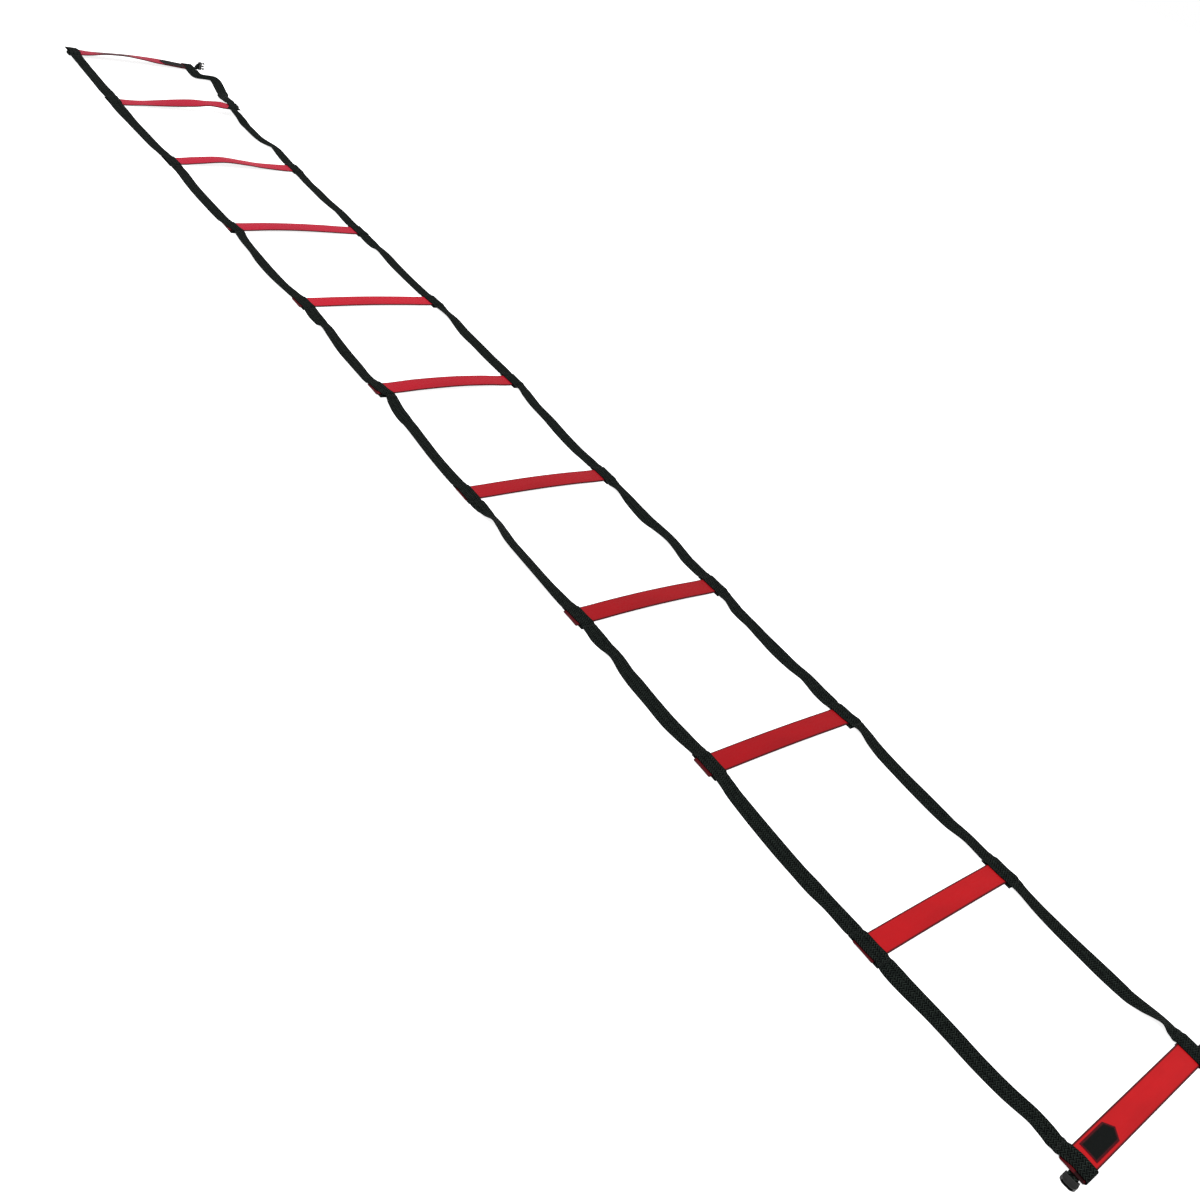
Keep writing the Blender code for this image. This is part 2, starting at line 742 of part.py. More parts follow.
def socket_place(side):
    """A near socket, lying flat and pointing outwards."""
    heading = near_heading(side)
    bar = near_root(side) + Vector((0, 0, near_bar_height()))
    bar += Matrix.Rotation(heading, 3, "Z") @ Vector((NEAR_BAR_SET, 0, 0))
    return Matrix.Translation(bar) @ Matrix.Rotation(heading, 4, "Z")


def place_buckle(base, place):
    """Puts a buckle and its cutters where its bar is."""
    base.matrix_world = place
    for step in base.modifiers:
        if step.type == "BOOLEAN":
            step.object.matrix_world = place


def plug_frame_plan():
    """The plug's frame seen from above, with the slot for the webbing cut later."""
    half = BODY_WIDTH / 2
    return mirrored([
        (PLUG_BASE, half + BODY_BULGE / 2, MOULD_EDGE),
        (SLOT_DEPTH, half + BODY_BULGE / 2, RAIL_END),
        (-RAIL_END, half, RAIL_END * RAIL_ROUND_SHARE),
    ])


def plug_fingers_plan():
    """The plug's tongue and its two spring arms, each with a catch that fills a window."""
    entry = MOUTH_WIDTH / 2 - CLEARANCE
    root = SLOT_DEPTH + RAIL_END
    meet = SOCKET_REACH + PLUG_BASE
    catch_start = meet - WINDOW_START - WINDOW_LENGTH + CLEARANCE
    tip = meet - SOCKET_FLOOR - RAIL_END - CLEARANCE
    arm_inner = entry - ARM_WIDTH
    catch_top = entry + CATCH_DROP
    neck = (entry - TONGUE_WIDTH / 2 - ARM_WIDTH) / 2 + TONGUE_WIDTH / 2
    slim = ARM_WIDTH / 2
    return mirrored([
        (tip - ARM_WIDTH, TONGUE_WIDTH / 2, slim),
        (PLUG_BASE + ARM_WIDTH, TONGUE_WIDTH / 2, slim / 2),
        (PLUG_BASE, neck, slim),
        (PLUG_BASE + ARM_WIDTH, arm_inner, slim / 2),
        (catch_start, arm_inner, ARM_WIDTH),
        (tip - ARM_WIDTH, arm_inner - slim, slim),
        (tip, arm_inner, slim),
        (tip - slim, entry - slim, slim),
        (catch_start + ARM_WIDTH + CATCH_DROP, catch_top - slim / 2, slim),
        (catch_start, catch_top, slim / 2),
        (catch_start, entry, slim / 2),
        (root, entry, 0),
    ])


def make_plug(side, place, target, cutters, material):
    """The male half: a frame with slot and bar, a middle tongue and two spring arms."""
    name = f"buckle_male_far_{SIDE_NAMES[side]}"
    base = plate(name, rounded(plug_frame_plan()), PLUG_THICKNESS)
    base.data.materials.append(material)
    target.objects.link(base)
    rounded_edges(base)
    fingers = plate(f"{name}_fingers", rounded(plug_fingers_plan()), MOUTH_HEIGHT - 2 * CLEARANCE)
    combine(base, fingers, "UNION", cutters)
    slot = block(f"{name}_slot", (-OVERRUN, -BAR_LENGTH / 2, -OVERRUN),
                 (SLOT_DEPTH, BAR_LENGTH / 2, OVERRUN))
    combine(base, slot, "DIFFERENCE", cutters)
    combine(base, round_bar(f"{name}_bar"), "UNION", cutters)
    place_buckle(base, place)
    return base


def folded_plug_place():
    """The far left plug, lying flat under the corner and pointing inwards."""
    return Matrix.Translation((under_root() - under_bar_set(), rung_centre(0)[1], PLUG_LIE))


def standing_plug_place():
    """The far right plug, on its edge and pointing outwards."""
    bar_set, bar_height = upright_bar()
    place = Matrix.Translation((rung_end(0, RIGHT) + bar_set, rung_centre(0)[1], bar_height))
    return place @ Matrix.Rotation(math.pi / 2, 4, "X")


def main():
    """Builds the ladder."""
    clear_scene()
    parts, cutters = collection("agility_ladder"), collection("cutters")
    slat, webbing, moulded = rung_finish(), webbing_finish(), buckle_finish()
    for index in range(RUNG_COUNT):
        make_rung(index, parts, slat)
        for side in (LEFT, RIGHT):
            make_strap(index, side, parts, webbing)
            if not is_end(index):
                make_keeper(index, side, parts, webbing)
    make_label(parts, label_finish())
    for side in (LEFT, RIGHT):
        make_flat_tab(side, parts, webbing)
        make_socket(side, parts, cutters, moulded)
    make_under_tab(parts, webbing)
    make_twisted_tab(parts, webbing)
    make_plug(LEFT, folded_plug_place(), parts, cutters, moulded)
    make_plug(RIGHT, standing_plug_place(), parts, cutters, moulded)


main()
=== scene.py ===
"""Agility ladder laid out on a studio floor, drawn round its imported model.

Eleven red slats lie between two black webbing straps, with half of a side-release buckle on a
webbing tab at each corner. Lengths are metres unless a name ends in mm, +Z is up, and +Y runs
from the near slat (10) to the far one (00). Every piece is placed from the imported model's boxes.
"""

import bisect
import logging
import math
from abc import ABC, abstractmethod
from collections.abc import Callable, Iterable, Sequence
from dataclasses import dataclass, field
from enum import Enum
from functools import partial

import bpy
from mathutils import Matrix, Vector


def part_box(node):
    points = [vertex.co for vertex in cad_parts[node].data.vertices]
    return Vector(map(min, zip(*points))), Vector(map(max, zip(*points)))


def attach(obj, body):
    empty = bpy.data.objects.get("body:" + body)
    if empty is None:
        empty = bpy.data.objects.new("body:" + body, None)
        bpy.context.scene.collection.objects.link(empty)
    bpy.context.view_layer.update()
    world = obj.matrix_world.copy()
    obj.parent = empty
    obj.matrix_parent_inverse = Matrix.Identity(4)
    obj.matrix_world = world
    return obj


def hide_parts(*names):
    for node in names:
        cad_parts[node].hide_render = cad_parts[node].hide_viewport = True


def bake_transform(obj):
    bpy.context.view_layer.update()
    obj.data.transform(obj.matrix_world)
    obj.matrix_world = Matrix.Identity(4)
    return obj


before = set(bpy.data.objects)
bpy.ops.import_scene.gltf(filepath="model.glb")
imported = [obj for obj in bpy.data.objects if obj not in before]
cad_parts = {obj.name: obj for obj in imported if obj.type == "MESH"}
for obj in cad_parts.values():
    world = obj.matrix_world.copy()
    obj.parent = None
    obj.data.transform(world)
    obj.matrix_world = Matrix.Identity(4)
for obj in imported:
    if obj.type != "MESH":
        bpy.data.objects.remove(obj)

log = logging.getLogger("agility_ladder")

MM = 0.001
LAY_MAP = "lay_mm"  # every soft or extruded piece carries its own flat lay, in millimetres
LAST = 10  # the near slat's number

Knot = tuple[float, ...]  # a row of a table, such as a place and the values there
Lay = tuple[float, float]  # a place on a flat piece, or in a section
Inputs = dict[int | str, object]  # what a shader node's input sockets get, by name or place


class Side(Enum):
    """Which of the two straps."""

    LEFT = -1
    RIGHT = 1

    @property
    def word(self) -> str:
        """The side's name as the pieces carry it."""
        return self.name.lower()


def linear(code: str) -> tuple[float, float, float, float]:
    """Turns an sRGB hex colour to linear light.

    Args:
        code: A colour such as "#c8202c".

    Returns:
        Red, green, blue and an alpha of 1.
    """
    parts = [int(code[at : at + 2], 16) / 255 for at in (1, 3, 5)]
    light = [c / 12.92 if c <= 0.04045 else ((c + 0.055) / 1.055) ** 2.4 for c in parts]
    return (light[0], light[1], light[2], 1.0)


def add_node(
    tree: bpy.types.NodeTree, kind: str, inputs: Inputs | None = None, **settings: object
) -> bpy.types.Node:
    """Adds a shader node with its settings and links.

    Args:
        tree: The node tree that gets it.
        kind: The node's type, such as "Math" for ShaderNodeMath.
        inputs: What each input socket gets, by name or place: a value, another node's output, or
            another node, whose first output in use it then takes.
        **settings: Properties of the node.

    Returns:
        The node.
    """
    node = tree.nodes.new(f"ShaderNode{kind}")
    for name, value in settings.items():
        setattr(node, name, value)
    for socket, value in (inputs or {}).items():
        if isinstance(value, bpy.types.Node):
            value = next(output for output in value.outputs if output.enabled)
        if isinstance(value, bpy.types.NodeSocket):
            tree.links.new(value, node.inputs[socket])
        else:
            node.inputs[socket].default_value = value
    return node


def new_object(name: str, data: bpy.types.ID) -> bpy.types.Object:
    """Makes an object and links it to the scene.

    Args:
        name: The object's name.
        data: Its mesh, light or camera.

    Returns:
        The object.
    """
    made = bpy.data.objects.new(name, data)
    bpy.context.scene.collection.objects.link(made)
    return made


def emptied(owner: bpy.types.Material | bpy.types.World) -> bpy.types.NodeTree:
    """Gives a material or a world a node tree with nothing in it yet.

    Args:
        owner: What gets it.

    Returns:
        The tree.
    """
    owner.use_nodes = True
    owner.node_tree.nodes.clear()
    return owner.node_tree


def smooth(share: float) -> float:
    """Eases from 0 to 1, flat at both ends."""
    kept = min(max(share, 0.0), 1.0)
    return kept * kept * (3 - 2 * kept)


def follow(knots: Sequence[Knot], place: float) -> list[float]:
    """Reads a smooth line through knots.

    Args:
        knots: Rows of a place and one or more values, in order of place.
        place: Where to read.

    Returns:
        The values there.
    """
    places = [knot[0] for knot in knots]
    if place <= places[0]:
        return list(knots[0][1:])
    if place >= places[-1]:
        return list(knots[-1][1:])
    at = bisect.bisect_right(places, place) - 1
    here, after = knots[at], knots[at + 1]
    span = after[0] - here[0]
    t = (place - here[0]) / span
    before = knots[at - 1] if at else None
    beyond = knots[at + 2] if at + 2 < len(knots) else None
    found = []
    for value in range(1, len(here)):
        leave = (after[value] - before[value]) / (after[0] - before[0]) if before else 0.0
        arrive = (beyond[value] - here[value]) / (beyond[0] - here[0]) if beyond else 0.0
        found.append(
            (2 * t**3 - 3 * t**2 + 1) * here[value]
            + (t**3 - 2 * t**2 + t) * span * leave
            + (3 * t**2 - 2 * t**3) * after[value]
            + (t**3 - t**2) * span * arrive
        )
    return found


# Finishes


@dataclass(frozen=True)
class Finish(ABC):
    """What every finish shares: a node tree that ends in one Principled surface."""

    name: str

    def material(self) -> bpy.types.Material:
        """Builds the finish.

        Returns:
            Its material.
        """
        made = bpy.data.materials.new(self.name)
        tree = emptied(made)
        shader = add_node(tree, "BsdfPrincipled", self.surface(partial(add_node, tree)))
        add_node(tree, "OutputMaterial", {"Surface": shader})
        return made

    @abstractmethod
    def surface(self, add: Callable[..., bpy.types.Node]) -> Inputs:
        """Builds the pattern.

        Args:
            add: Adds a node to the finish's tree.

        Returns:
            What the Principled shader's inputs get.
        """


@dataclass(frozen=True)
class WovenPolypropylene(Finish):
    """Polypropylene webbing: dull black, and woven, so the eye gets ribs and broken sheen.

    The real herringbone has picks about 1 mm apart. It is drawn as coarse as it has to be to show.
    """

    name: str = "woven_polypropylene_webbing"
    yarn: str = "#1d2220"
    # The painted shade in the weave's low places
    groove_shade: str = "#030404"
    lint: str = "#2e3531"
    rib_mm: float = 6.33
    pick_mm: float = 5.2
    lean: float = 0.9
    groove_share: float = 0.16
    cloud_mm: float = 9.0
    pick_depth: float = 0.35 * MM

    def surface(self, add: Callable[..., bpy.types.Node]) -> Inputs:
        """Builds the herringbone and its lint from the webbing's lay in millimetres.

        Args:
            add: Adds a node to the finish's tree.

        Returns:
            What the Principled shader's inputs get.
        """
        lay = add("UVMap", uv_map=LAY_MAP)
        split = add("SeparateXYZ", {0: lay})
        # Herringbone: the twill's diagonal turns back at each rib
        turned = add("Math", {0: split.outputs["X"], 1: self.rib_mm}, operation="PINGPONG")
        slant = {0: turned, 1: self.lean, 2: split.outputs["Y"]}
        leaned = add("Math", slant, operation="MULTIPLY_ADD")
        phase = add("Math", {0: leaned, 1: 2 * math.pi / self.pick_mm}, operation="MULTIPLY")
        wave = add("Math", {0: phase}, operation="SINE")
        pick = add("MapRange", {"Value": wave, "From Min": -1.0}, interpolation_type="SMOOTHSTEP")
        # The groove between ribs, on the line where the diagonal turns
        groove_mm = self.rib_mm * self.groove_share
        groove = add("MapRange", {"Value": turned, "From Max": groove_mm}, interpolation_type="SMOOTHSTEP")
        height = add("Math", {0: pick, 1: groove}, operation="MULTIPLY")
        cloud = add("TexNoise", {"Vector": lay, "Scale": 1 / self.cloud_mm, "Detail": 3.0, "Roughness": 0.6})
        slub = add("MapRange", {"Value": cloud, "From Min": 0.38, "From Max": 0.68})
        tone = add("Mix", {"Factor": slub, 6: linear(self.yarn), 7: linear(self.lint)}, data_type="RGBA")
        return {
            # The weave's low places are painted dark, as shade in its hollows
            "Base Color": add("Mix", {"Factor": height, 6: linear(self.groove_shade), 7: tone}, data_type="RGBA"),
            "Roughness": add("MapRange", {"Value": height, "To Min": 0.92, "To Max": 0.68}),
            "Normal": add("Bump", {"Height": height, "Strength": 0.7, "Distance": self.pick_depth}),
            "IOR": 1.49,
            "Specular IOR Level": 0.03,
        }


@dataclass(frozen=True)
class ExtrudedPolypropylene(Finish):
    """Red polypropylene slat: extruded, so it has faint die lines along it and a soft gloss.

    The long edges are painted darker, as shade on the shoulder of each lip, and so is the left end.
    Deeper painted shade lies on the underside and on the places marked in each slat's alpha.
    """

    name: str = "extruded_red_polypropylene"
    # The darker red that paints shade on the long edges and the left end, and also tints the clouds
    lip: str = "#4c0c14"
    # The deep red of the painted shade on the underside and the marked places
    shade_red: str = "#240609"
    cloud_share: float = 0.16
    half_width_mm: float = 25.0
    left_end_mm: float = 238.0
    # Painted shade on the long edges: how far in from each edge it starts, and where it is full
    lip_shade_mm: float = 4.0
    lip_shade_full_mm: float = 0.8
    ragged_mm: float = 1.2
    # Painted shade on the left end: how far in it reaches, and how deep it gets
    left_end_shade_mm: float = 14.0
    left_end_shade_share: float = 0.95
    die_mm: float = 1.1
    die_run_share: float = 0.004
    die_depth: float = 0.12 * MM
    cloud_mm: float = 70.0
    cloud_run_share: float = 0.45
    cloud_turn: float = 0.35

    def surface(self, add: Callable[..., bpy.types.Node]) -> Inputs:
        """Builds the pattern from the slat's lay in millimetres: X along, Y across.

        Args:
            add: Adds a node to the finish's tree.

        Returns:
            What the Principled shader's inputs get.
        """
        lay = add("UVMap", uv_map=LAY_MAP)
        split = add("SeparateXYZ", {0: lay})
        # Long soft clouds, as the melt cools unevenly
        turn, run = (0.0, 0.0, self.cloud_turn), (self.cloud_run_share, 1.0, 1.0)
        slanted = add("Mapping", {"Vector": lay, "Rotation": turn, "Scale": run})
        cloud = add(
            "TexNoise", {"Vector": slanted, "Scale": 1 / self.cloud_mm, "Detail": 3.0, "Roughness": 0.55}
        )
        clouds = {"Value": cloud, "From Min": 0.36, "From Max": 0.64, "To Max": self.cloud_share}
        drift = add("MapRange", clouds)
        # Each slat's own colour, and in its alpha how much painted shade each place gets
        dye = add("Attribute", attribute_name="dye")
        face = add("Mix", {"Factor": drift, 6: dye, 7: linear(self.lip)}, data_type="RGBA")
        # Die lines: noise drawn out along the slat
        drawn = add("Mapping", {"Vector": lay, "Scale": (self.die_run_share, 1.0, 1.0)})
        lines = add("TexNoise", {"Vector": drawn, "Scale": 1 / self.die_mm, "Detail": 2.0})
        # Painted shade along both long edges, on the shoulder of each lip, ragged along the die lines
        from_middle = add("Math", {0: split.outputs["Y"]}, operation="ABSOLUTE")
        ragged = add("Math", {0: lines, 1: self.ragged_mm, 2: from_middle}, operation="MULTIPLY_ADD")
        starts, full = self.half_width_mm - self.lip_shade_mm, self.half_width_mm - self.lip_shade_full_mm
        lip_shade_range = {"Value": ragged, "From Min": starts, "From Max": full}
        lip = add("MapRange", lip_shade_range, interpolation_type="SMOOTHSTEP")
        # Painted shade on the left end, darkest over the outer half of its length
        ends = {"From Min": self.left_end_shade_mm - self.left_end_mm, "From Max": self.left_end_shade_mm / 2 - self.left_end_mm}
        left_end_shade = add("MapRange", {"Value": split.outputs["X"], **ends, "To Max": self.left_end_shade_share})
        # Painted shade on the long edges and the left end, in one mask
        dark = add("Math", {0: lip, 1: left_end_shade}, operation="MAXIMUM")
        shaded_face = add("Mix", {"Factor": dark, 6: face, 7: linear(self.lip)}, data_type="RGBA")
        # How much painted shade each place gets, from the colour attribute's alpha
        wear_and_shade = dye.outputs["Alpha"]
        gloss = {"Value": lines, "From Min": 0.3, "From Max": 0.7, "To Min": 0.4, "To Max": 0.56}
        return {
            "Base Color": add("Mix", {"Factor": wear_and_shade, 6: shaded_face, 7: linear(self.shade_red)}, data_type="RGBA"),
            "Roughness": add("MapRange", gloss),
            "Normal": add("Bump", {"Height": lines, "Strength": 0.25, "Distance": self.die_depth}),
            "IOR": 1.49,
            "Specular IOR Level": 0.12,
        }


@dataclass(frozen=True)
class MouldedAcetal(Finish):
    """Black acetal buckle: injection moulded, so it is satin with a fine spark-eroded grain."""

    name: str = "moulded_black_acetal"
    body: str = "#0b0c0c"
    rubbed_and_shaded: str = "#1b1d1c"
    grain: float = 0.45 * MM
    grain_depth: float = 0.05 * MM
    scuff_and_shade: float = 6.0 * MM

    def surface(self, add: Callable[..., bpy.types.Node]) -> Inputs:
        """Builds the grain and the wear from object coordinates, in metres.

        Args:
            add: Adds a node to the finish's tree.

        Returns:
            What the Principled shader's inputs get.
        """
        place = add("TexCoord").outputs["Object"]
        grain = add("TexNoise", {"Vector": place, "Scale": 1 / self.grain, "Detail": 2.0})
        scuff_and_shade = add("TexNoise", {"Vector": place, "Scale": 1 / self.scuff_and_shade, "Detail": 4.0})
        wear_and_shade = add("MapRange", {"Value": scuff_and_shade, "From Min": 0.5, "From Max": 0.75})
        gloss = {"Value": scuff_and_shade, "From Min": 0.3, "From Max": 0.7, "To Min": 0.28, "To Max": 0.46}
        return {
            "Base Color": add(
                "Mix", {"Factor": wear_and_shade, 6: linear(self.body), 7: linear(self.rubbed_and_shaded)}, data_type="RGBA"
            ),
            "Roughness": add("MapRange", gloss),
            "Normal": add("Bump", {"Height": grain, "Strength": 0.3, "Distance": self.grain_depth}),
            "IOR": 1.48,
            "Specular IOR Level": 0.35,
        }


@dataclass(frozen=True)
class WovenPatch(Finish):
    """Polyester satin patch: tightly woven and heat cut, so it is smoother than the webbing."""

    name: str = "woven_polyester_patch"
    satin: str = "#070a09"
    float_yarn: str = "#0e1311"
    rim: str = "#560f18"
    thread_mm: float = 0.9
    thread_depth: float = 0.12 * MM

    def surface(self, add: Callable[..., bpy.types.Node]) -> Inputs:
        """Builds the twill from the patch's lay in millimetres, and its rim from an attribute.

        Args:
            add: Adds a node to the finish's tree.

        Returns:
            What the Principled shader's inputs get.
        """
        split = add("SeparateXYZ", {0: add("UVMap", uv_map=LAY_MAP)})
        turns = 2 * math.pi / self.thread_mm
        steps = [add("Math", {0: split.outputs[axis], 1: turns}, operation="MULTIPLY") for axis in ("X", "Y")]
        summed = add("Math", {0: steps[0], 1: steps[1]}, operation="ADD")
        twill = add("Math", {0: summed}, operation="SINE")
        thread = add("MapRange", {"Value": twill, "From Min": -1.0})
        rim = add("Attribute", attribute_name="rim").outputs["Fac"]
        satin = add(
            "Mix", {"Factor": thread, 6: linear(self.satin), 7: linear(self.float_yarn)}, data_type="RGBA"
        )
        return {
            "Base Color": add("Mix", {"Factor": rim, 6: satin, 7: linear(self.rim)}, data_type="RGBA"),
            "Roughness": add("MapRange", {"Value": thread, "To Min": 0.7, "To Max": 0.5}),
            "Normal": add("Bump", {"Height": thread, "Strength": 0.45, "Distance": self.thread_depth}),
            "IOR": 1.5,
            "Specular IOR Level": 0.08,
        }


@dataclass(frozen=True)
class TwistedPolyester(Finish):
    """Bonded polyester thread: twisted, so a slanting ply shows in each stitch."""

    name: str = "twisted_polyester_thread"
    ply: str = "#1f2322"
    # The painted shade in the grooves between the plies
    groove_shade: str = "#090a0a"
    twist_mm: float = 0.8
    ply_depth: float = 0.1 * MM

    def surface(self, add: Callable[..., bpy.types.Node]) -> Inputs:
        """Builds the ply: X runs round the thread and Y along it, in millimetres.

        Args:
            add: Adds a node to the finish's tree.

        Returns:
            What the Principled shader's inputs get.
        """
        split = add("SeparateXYZ", {0: add("UVMap", uv_map=LAY_MAP)})
        summed = add("Math", {0: split.outputs["X"], 1: split.outputs["Y"]}, operation="ADD")
        phase = add("Math", {0: summed, 1: 2 * math.pi / self.twist_mm}, operation="MULTIPLY")
        wave = add("Math", {0: phase}, operation="SINE")
        ply = add("MapRange", {"Value": wave, "From Min": -1.0})
        return {
            # The grooves between the plies are painted dark, as shade
            "Base Color": add(
                "Mix", {"Factor": ply, 6: linear(self.groove_shade), 7: linear(self.ply)}, data_type="RGBA"
            ),
            "Roughness": 0.5,
            "Normal": add("Bump", {"Height": ply, "Strength": 0.5, "Distance": self.ply_depth}),
            "IOR": 1.5,
            "Specular IOR Level": 0.35,
        }


# Mesh work


@dataclass
class Mesh:
    """Points, faces and the flat lay of each point, gathered before Blender gets them."""

    points: list[Vector] = field(default_factory=list)
    lay: list[Lay] = field(default_factory=list)
    faces: list[tuple[int, ...]] = field(default_factory=list)

    def add_loft(
        self, rings: Sequence[Sequence[tuple[Vector, Lay]]], closed: bool = True, capped: bool = True
    ) -> None:
        """Skins a row of rings.

        Args:
            rings: Each ring's points, as many on each, with their places on the flat piece in mm.
            closed: Whether each ring runs back to its first point.
            capped: Whether the first and last rings are filled.
        """
        start, size = len(self.points), len(rings[0])
        for ring in rings:
            self.points.extend(point for point, _ in ring)
            self.lay.extend(lay for _, lay in ring)
        for row in range(len(rings) - 1):
            low, high = start + row * size, start + (row + 1) * size
            for at in range(size if closed else size - 1):
                after = (at + 1) % size
                self.faces.append((low + at, low + after, high + after, high + at))
        if capped:
            self.faces.append(tuple(range(start + size - 1, start - 1, -1)))
            end = start + (len(rings) - 1) * size
            self.faces.append(tuple(range(end, end + size)))

    def to_object(self, name: str, material: bpy.types.Material, sharp: float = 40) -> bpy.types.Object:
        """Makes the Blender object.

        Args:
            name: The piece's name.
            material: What it wears.
            sharp: The angle in degrees past which an edge stays sharp.

        Returns:
            The object, linked to the scene.
        """
        mesh = bpy.data.meshes.new(name)
        mesh.from_pydata([tuple(point) for point in self.points], [], self.faces)
        flat = mesh.uv_layers.new(name=LAY_MAP)
        for loop in mesh.loops:
            flat.data[loop.index].uv = self.lay[loop.vertex_index]
        mesh.polygons.foreach_set("use_smooth", [True] * len(mesh.polygons))
        mesh.set_sharp_from_angle(angle=math.radians(sharp))
        mesh.materials.append(material)
        return new_object(name, mesh)


@dataclass
class Station:
    """A place along a band of webbing: its middle, the way across it and how thick it is there."""

    middle: Vector
    across: Vector
    squeeze: float = 1.0


@dataclass
class Band:
    """Flat webbing of one width, with rounded selvages."""

    width: float
    thickness: float
    steps_across: int = 12
    steps_round: int = 4

    def section(self, squeeze: float) -> list[tuple[float, float]]:
        """The band's outline across it, in order round it.

        Args:
            squeeze: How much of the thickness is left where a seam pulls the band tight.

        Returns:
            Distances across and up from the middle, in metres.
        """
        radius = self.thickness * squeeze / 2
        flat = self.width / 2 - radius
        half = [(-flat + 2 * flat * at / self.steps_across, radius) for at in range(self.steps_across + 1)]
        for at in range(1, self.steps_round):
            angle = math.pi / 2 - math.pi * at / self.steps_round
            half.append((flat + radius * math.cos(angle), radius * math.sin(angle)))
        return half + [(-across, -up) for across, up in half]

    def fill(
        self, mesh: Mesh, stations: Sequence[Station], normals: Sequence[Vector], start_mm: float
    ) -> None:
        """Adds the band to a mesh.

        Args:
            mesh: What gets it.
            stations: The band's places, in order.
            normals: The way up at each of them.
            start_mm: How far along the whole band the first one is.
        """
        rings = []
        gone = start_mm
        for at, (station, normal) in enumerate(zip(stations, normals, strict=True)):
            if at:
                gone += (station.middle - stations[at - 1].middle).length / MM
            rings.append([
                (station.middle + station.across * a + normal * n, ((a + self.width / 2) / MM, gone))
                for a, n in self.section(station.squeeze)
            ])
        mesh.add_loft(rings)


def normals_of(stations: Sequence[Station]) -> list[Vector]:
    """The way up along a band that runs from the first station to the last.

    Args:
        stations: The band's places, in order.

    Returns:
        A unit vector for each.
    """
    found = []
    for at, station in enumerate(stations):
        before = stations[max(at - 1, 0)].middle
        after = stations[min(at + 1, len(stations) - 1)].middle
        found.append((after - before).cross(station.across).normalized())
    return found


def arc(centre: Lay, radius: float, start: float, end: float, steps: int) -> list[Lay]:
    """Points on an arc, from one angle to another in radians."""
    angles = [start + (end - start) * at / steps for at in range(steps + 1)]
    return [(centre[0] + radius * math.cos(a), centre[1] + radius * math.sin(a)) for a in angles]


# Layout

# The far slat's left end rests on the plug that lies folded under it
PROP_SLOPE = 0.0158
# How each slat has warped: share across from the left, rise in mm, twist in degrees (near edge up)
WARPS: tuple[tuple[Knot, ...], ...] = (
    ((0, 0, 0), (0.08, 1, 5), (0.18, 5, 11), (0.28, 8, 13), (0.40, 10, 12), (0.50, 9.5, 8), (0.60, 8, 4),
     (0.70, 6, 0), (0.83, 3.5, -1), (1, 0, 0)),
    ((0, 0, 0), (0.18, 3, 4), (0.35, 9, -1), (0.50, 15, -6), (0.66, 21, -6), (0.78, 24, 2), (0.92, 23, -5),
     (1, 21, 0)),
    ((0, 0, 0), (0.15, 6, 0), (0.38, 14, 3), (0.60, 8, 6), (0.73, 3, 5), (1, 0, 0)),
    ((0, 0, 0), (0.25, 4, 1), (0.50, 5, 1), (0.75, 3, 0), (1, 0, 0)),
    ((0, 0, 0), (0.25, 2, 0), (0.50, 3, 0), (0.75, 2, 0), (1, 0, 0)),
    ((0, 0, 0), (0.25, 5.5, -1), (0.55, 8, 0), (0.80, 5, 0), (1, 0, 0)),
    ((0, 0, 0), (0.25, 2.5, 0), (0.50, 4, 0), (0.75, 3, 0), (1, 0, 0)),
    ((0, 0, 0), (0.25, 3.5, 0), (0.50, 5, 0), (0.75, 3.5, 0), (1, 0, 0)),
    ((0, 0, 0), (0.25, 2, 0), (0.50, 3, 0), (0.75, 2, 0), (1, 0, 0)),
    ((0, 0, 0), (0.25, 1.5, 0), (0.50, 2, 0), (0.75, 1.5, 0), (1, 0, 0)),
    ((0, 0, 0), (1, 0, 0)),
)
# How the left and the right strap cross each slat: mm to the right of the usual place, mm by which that
# end of the slat is short, degrees of roll (left edge up)
CROSSINGS: tuple[tuple[Knot, Knot], ...] = (
    ((0, 12, 0), (-6, 7, 0)), ((-5, 8, -10), (-6, 20, 3)), ((-2, 8, 0), (1, 0, 0)), ((1, 7, 0), (4, 0, 0)),
    ((-1, 0, 0), (3, 0, 0)), ((-1, 0, 0), (4, 0, 0)), ((-4, 0, 0), (4, 0, 0)), ((1, 0, 0), (1, 0, 0)),
    ((1, 0, 0), (2, 0, 0)), ((-3, 0, 0), (3, 0, 0)), ((2, 2, 0), (0, 0, 0)),
)
# The near slat lies askew, with its left end nearer
NEAR_YAW = math.radians(0.7)


